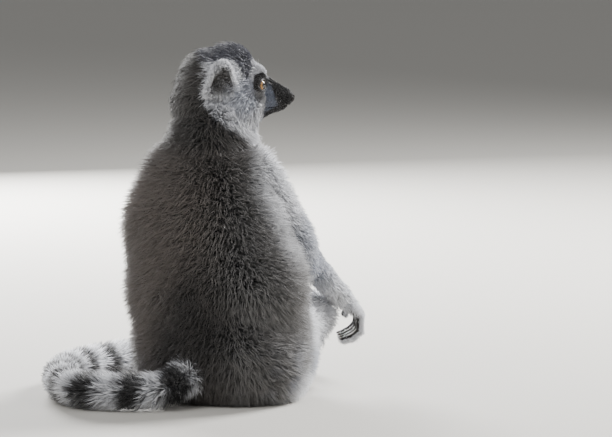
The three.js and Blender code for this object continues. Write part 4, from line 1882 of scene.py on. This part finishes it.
def add_node(
    tree: bpy.types.NodeTree, kind: str, settings: dict[str, Any] | None = None,
    values: dict[str | int, Any] | None = None, links: dict[str | int, Any] | None = None,
) -> bpy.types.Node:
    """Adds a node.

    Args:
        tree: The tree it goes into.
        kind: Its Blender type.
        settings: Properties of the node.
        values: Values of its inputs.
        links: Outputs that feed its inputs.

    Returns:
        The node.
    """
    node = tree.nodes.new(kind)
    for key, value in (settings or {}).items():
        setattr(node, key, value)
    for key, value in (values or {}).items():
        node.inputs[key].default_value = value
    for key, output in (links or {}).items():
        tree.links.new(output, node.inputs[key])
    return node


def rgba(colour: int) -> tuple[float, float, float, float]:
    """A hex colour as linear red, green, blue and full cover."""
    return (*linear(colour), 1.0)


def new_material(name: str) -> tuple[bpy.types.Material, bpy.types.NodeTree]:
    """Makes a material with an empty tree."""
    material = bpy.data.materials.new(name)
    material.use_nodes = True
    material.node_tree.nodes.clear()
    return material, material.node_tree


def add_shader(
    tree: bpy.types.NodeTree, values: dict[str | int, Any], links: dict[str | int, Any] | None = None,
) -> None:
    """Ends a tree with a shader and the output that it feeds."""
    shader = add_node(tree, "ShaderNodeBsdfPrincipled", values=values, links=links)
    add_node(tree, "ShaderNodeOutputMaterial", links={"Surface": shader.outputs[0]})


def add_attribute(tree: bpy.types.NodeTree, name: str) -> bpy.types.Node:
    """Adds a node that reads what a mesh stores under a name."""
    return add_node(tree, "ShaderNodeAttribute", {"attribute_name": name})


def add_texture(tree: bpy.types.NodeTree, kind: str, size: float, **values: float) -> bpy.types.Node:
    """Adds a texture that runs through the solid, with features of a size in millimetres."""
    place = add_node(tree, "ShaderNodeTexCoord")
    values["Scale"] = 1.0 / (size * MM)
    return add_node(tree, f"ShaderNodeTex{kind}", None, values, {"Vector": place.outputs["Object"]})


def add_range(
    tree: bpy.types.NodeTree, source: Any, new: tuple[float, float], old: tuple[float, float] = (0.0, 1.0),
) -> Any:
    """Adds a node that maps an old range of values onto a new one, and gives its output."""
    values = {1: old[0], 2: old[1], 3: new[0], 4: new[1]}
    return add_node(tree, "ShaderNodeMapRange", None, values, {0: source}).outputs[0]


def add_pair(tree: bpy.types.NodeTree, operation: str, first: Any, second: Any) -> Any:
    """Adds a node that works out one number from two, and gives its output."""
    return add_node(tree, "ShaderNodeMath", {"operation": operation}, None, {0: first, 1: second}).outputs[0]


@dataclass(frozen=True)
class HairFinish:
    """Hair keratin, dry and unoiled: banded along its length, with a soft sheen."""

    roughness: float = 0.62
    ior: float = 1.55
    sheen: float = 0.35
    sheen_roughness: float = 0.45
    mottle: float = 7.0

    def build(self) -> bpy.types.Material:
        """Makes the material."""
        material, tree = new_material("hair_keratin")
        marking, along, tone = (add_attribute(tree, name) for name in ("Marking", "Along", "Tone"))
        band = add_node(tree, "ShaderNodeValToRGB", links={0: along.outputs["Fac"]})
        stops = band.color_ramp.elements
        stops[0].position, stops[0].color = 0.0, (0.42, 0.42, 0.42, 1.0)
        stops[1].position, stops[1].color = 1.0, (1.0, 1.0, 1.0, 1.0)
        stops.new(0.55).color = (0.82, 0.82, 0.82, 1.0)
        grizzle = add_range(tree, tone.outputs["Fac"], (0.74, 1.22))
        patches = add_texture(tree, "Noise", self.mottle, Detail=2.0)
        patchy = add_range(tree, patches.outputs["Fac"], (0.86, 1.12), (0.3, 0.7))
        factor = add_pair(tree, "MULTIPLY", grizzle, patchy)
        shade = add_node(tree, "ShaderNodeVectorMath", {"operation": "SCALE"},
                         links={0: band.outputs["Color"], "Scale": factor})
        colour = add_node(tree, "ShaderNodeVectorMath", {"operation": "MULTIPLY"},
                          links={0: marking.outputs["Color"], 1: shade.outputs[0]})
        values = {"Roughness": self.roughness, "IOR": self.ior, "Sheen Weight": self.sheen,
                  "Sheen Roughness": self.sheen_roughness}
        add_shader(tree, values, {"Base Color": colour.outputs[0]})
        return material


@dataclass(frozen=True)
class HideFinish:
    """Skin: matt under the hair, and fine black leather where it is bare."""

    furred_roughness: float = 0.85
    bare_roughness: float = 0.48
    ior: float = 1.4
    pore: float = 0.7
    fuzz: float = 2.0

    def build(self) -> bpy.types.Material:
        """Makes the material."""
        material, tree = new_material("hide")
        marking, bare = (add_attribute(tree, name) for name in ("Marking", "Bare"))
        grain = add_texture(tree, "Voronoi", self.pore)
        fuzz = add_texture(tree, "Noise", self.fuzz, Detail=4.0)
        spots = add_range(tree, fuzz.outputs["Fac"], (0.7, 1.2), (0.3, 0.7))
        colour = add_node(tree, "ShaderNodeVectorMath", {"operation": "SCALE"},
                          links={0: marking.outputs["Color"], "Scale": spots})
        rough = add_range(tree, bare.outputs["Fac"], (self.furred_roughness, self.bare_roughness))
        height = add_pair(tree, "ADD", grain.outputs["Distance"], fuzz.outputs["Fac"])
        bump = add_node(tree, "ShaderNodeBump", values={"Strength": 0.5, "Distance": 0.3 * MM},
                        links={"Height": height})
        links = {"Base Color": colour.outputs[0], "Roughness": rough, "Normal": bump.outputs[0]}
        add_shader(tree, {"IOR": self.ior}, links)
        return material


@dataclass(frozen=True)
class EyeFinish:
    """A wet eye: amber iris with fine rays, a dark rim, a dark pupil and a clear wet film."""

    pupil: float = 22.0
    iris: float = 44.0
    span: float = 60.0
    ray: float = 1.0 / 0.9
    amber: int = 0x7A4E14
    gold: int = 0xA87C2C
    rim: int = 0x2A1408
    dark: int = 0x0B0806
    white: int = 0x2E211A

    def build(self) -> bpy.types.Material:
        """Makes the material."""
        material, tree = new_material("wet_eye")
        gaze = add_attribute(tree, "Gaze")
        rays = add_texture(tree, "Noise", self.ray, Detail=3.0, Distortion=0.6)
        shift = add_range(tree, rays.outputs["Fac"], (-2.5, 2.5), (0.3, 0.7))
        angle = add_pair(tree, "ADD", gaze.outputs["Fac"], shift)
        share = add_range(tree, angle, (0.0, 1.0), (0.0, self.span))
        rings = add_node(tree, "ShaderNodeValToRGB", links={0: share})
        stops = rings.color_ramp.elements
        stops[0].position, stops[0].color = 0.0, rgba(self.dark)
        stops[1].position, stops[1].color = 1.0, rgba(self.white)
        for angle_at, colour in (
            (self.pupil - 1.0, self.dark), (self.pupil + 1.5, self.amber), (self.pupil + 12.0, self.gold),
            (self.iris - 8.0, self.amber), (self.iris, self.rim), (self.iris + 4.0, self.white),
        ):
            stops.new(angle_at / self.span).color = rgba(colour)
        values = {"Roughness": 0.18, "IOR": 1.38, "Coat Weight": 1.0, "Coat Roughness": 0.02,
                  "Coat IOR": 1.38}
        add_shader(tree, values, {"Base Color": rings.outputs["Color"]})
        return material


@dataclass(frozen=True)
class NoseFinish:
    """Damp black nose leather with a pebbled grain, and a painted sheen in a lighter colour between the
    pebbles.
    """

    colour: int = 0x0F0D0D
    # Painted sheen: a lighter colour laid between the pebbles.
    sheen: int = 0x1C1818
    grain: float = 0.8

    def build(self) -> bpy.types.Material:
        """Makes the material."""
        material, tree = new_material("nose_leather")
        pebbles = add_texture(tree, "Voronoi", self.grain)
        tint = add_node(tree, "ShaderNodeMix", {"data_type": "RGBA"},
                        {6: rgba(self.colour), 7: rgba(self.sheen)}, {0: pebbles.outputs["Distance"]})
        bump = add_node(tree, "ShaderNodeBump", values={"Strength": 0.5, "Distance": 0.25 * MM},
                        links={"Height": pebbles.outputs["Distance"]})
        links = {"Base Color": tint.outputs[2], "Normal": bump.outputs[0]}
        add_shader(tree, {"Roughness": 0.7, "IOR": 1.33}, links)
        return material


@dataclass(frozen=True)
class HornFinish:
    """Nail horn: dark, smooth, with faint lengthwise clouding."""

    colour: int = 0x2B2523
    tip: int = 0x5A4C43
    cloud: float = 3.0

    def build(self) -> bpy.types.Material:
        """Makes the material."""
        material, tree = new_material("nail_horn")
        cloud = add_texture(tree, "Noise", self.cloud)
        tint = add_node(tree, "ShaderNodeMix", {"data_type": "RGBA"},
                        {6: rgba(self.colour), 7: rgba(self.tip)}, {0: cloud.outputs["Fac"]})
        add_shader(tree, {"Roughness": 0.4, "IOR": 1.54}, {"Base Color": tint.outputs[2]})
        return material


# ---- Studio -----------------------------------------------------------------------------


@dataclass(frozen=True)
class Lamp:
    """A square soft light over the floor. Lengths in metres, power in watts."""

    name: str
    across: float
    towards: float
    height: float
    size: float
    power: float


LAMPS = (
    Lamp("key", -1.0, 1.6, 1.6, 1.6, 29.0),
    Lamp("fill", 1.9, 1.0, 1.1, 1.6, 16.0),
    Lamp("rim_left", -0.7, -2.1, 0.8, 0.8, 130.0),
    Lamp("rim_right", 1.8, -1.3, 1.6, 0.9, 170.0),
)


@dataclass
class Studio:
    """Pale floor, soft lights and the camera."""

    floor_colour: int = 0xD2CFC8
    floor_half: float = 40.0
    azimuth: float = 208.0
    elevation: float = 6.3
    distance: float = 3502.0
    lens: float = 200.0
    target: tuple[float, float, float] = (-63.3, -56.5, 182.8)
    sky: float = 0.38
    sky_colour: int = 0xDCDDDE

    def build(self) -> None:
        """Builds the studio."""
        self.lay_floor()
        self.place_camera()
        for lamp in LAMPS:
            self.hang(lamp)
        world = bpy.data.worlds.new("soft_room")
        world.use_nodes = True
        background = world.node_tree.nodes["Background"]
        background.inputs["Color"].default_value = rgba(self.sky_colour)
        background.inputs["Strength"].default_value = self.sky
        bpy.context.scene.world = world

    def lay_floor(self) -> None:
        """Lays the floor, level with what the animal rests on."""
        half = self.floor_half
        mesh = bpy.data.meshes.new("floor")
        places = [(-half, -half, 0), (half, -half, 0), (half, half, 0), (-half, half, 0)]
        mesh.from_pydata(places, [], [(0, 1, 2, 3)])
        floor = add_object("floor", mesh)
        material, tree = new_material("pale_floor")
        add_shader(tree, {"Base Color": rgba(self.floor_colour), "Roughness": 0.9})
        mesh.materials.append(material)

    def hang(self, lamp: Lamp) -> None:
        """Hangs a light that looks at the middle of the animal."""
        data = bpy.data.lights.new(lamp.name, "AREA")
        data.shape, data.size, data.energy = "SQUARE", lamp.size, lamp.power
        light = add_object(lamp.name, data)
        across, towards = heading(self.azimuth + 90.0, 0.0), heading(self.azimuth, 0.0)
        aside = lamp.across * across + lamp.towards * towards
        light.location = Vector((aside[0], aside[1], lamp.height))
        way = Vector((0.0, 0.0, 0.2)) - light.location
        light.rotation_euler = way.to_track_quat("-Z", "Y").to_euler()

    def place_camera(self) -> None:
        """Places the camera with a long lens at the height of the animal."""
        data = bpy.data.cameras.new("camera")
        data.lens, data.sensor_width = self.lens, 36.0
        data.clip_end = 100.0
        camera = add_object("camera", data)
        back = Vector(heading(self.azimuth, self.elevation))
        camera.location = (Vector(self.target) + back * self.distance) * MM
        camera.rotation_mode = "QUATERNION"
        camera.rotation_quaternion = (-back).to_track_quat("-Z", "Y")
        bpy.context.scene.camera = camera


# ---- Assembly ---------------------------------------------------------------------------


def corners(box: Iterable[Any]) -> list[list[float]]:
    """A box as plain lists of numbers."""
    return [[float(value) for value in corner] for corner in box]


def main() -> None:
    """Builds the skin, the coat, the small pieces and the studio."""
    logging.basicConfig(level=logging.INFO, format="%(message)s")
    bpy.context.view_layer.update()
    parts = body_parts()
    skin = Skin(parts)
    skin.draw()
    skin.survey()
    skin.dress(HideFinish().build())
    Coat(skin, density=1.0).grow(HairFinish().build())
    wet = EyeFinish().build()
    for side in Side:
        Eyeball(side).build(wet)
    Nose().build(NoseFinish().build())
    horn = HornFinish().build()
    for part in parts:
        if isinstance(part, Paw):
            Nails(part).build(horn)
    Whiskers().build(HornFinish(colour=0x1B1817, tip=0x3A3533).build())
    Studio().build()
    meshes = [item.data for item in bpy.data.objects if item.type == "MESH"]
    LOG.info("triangles in all: %d", sum(len(read_triangles(mesh)) for mesh in meshes))


if __name__ == "__main__":
    main()
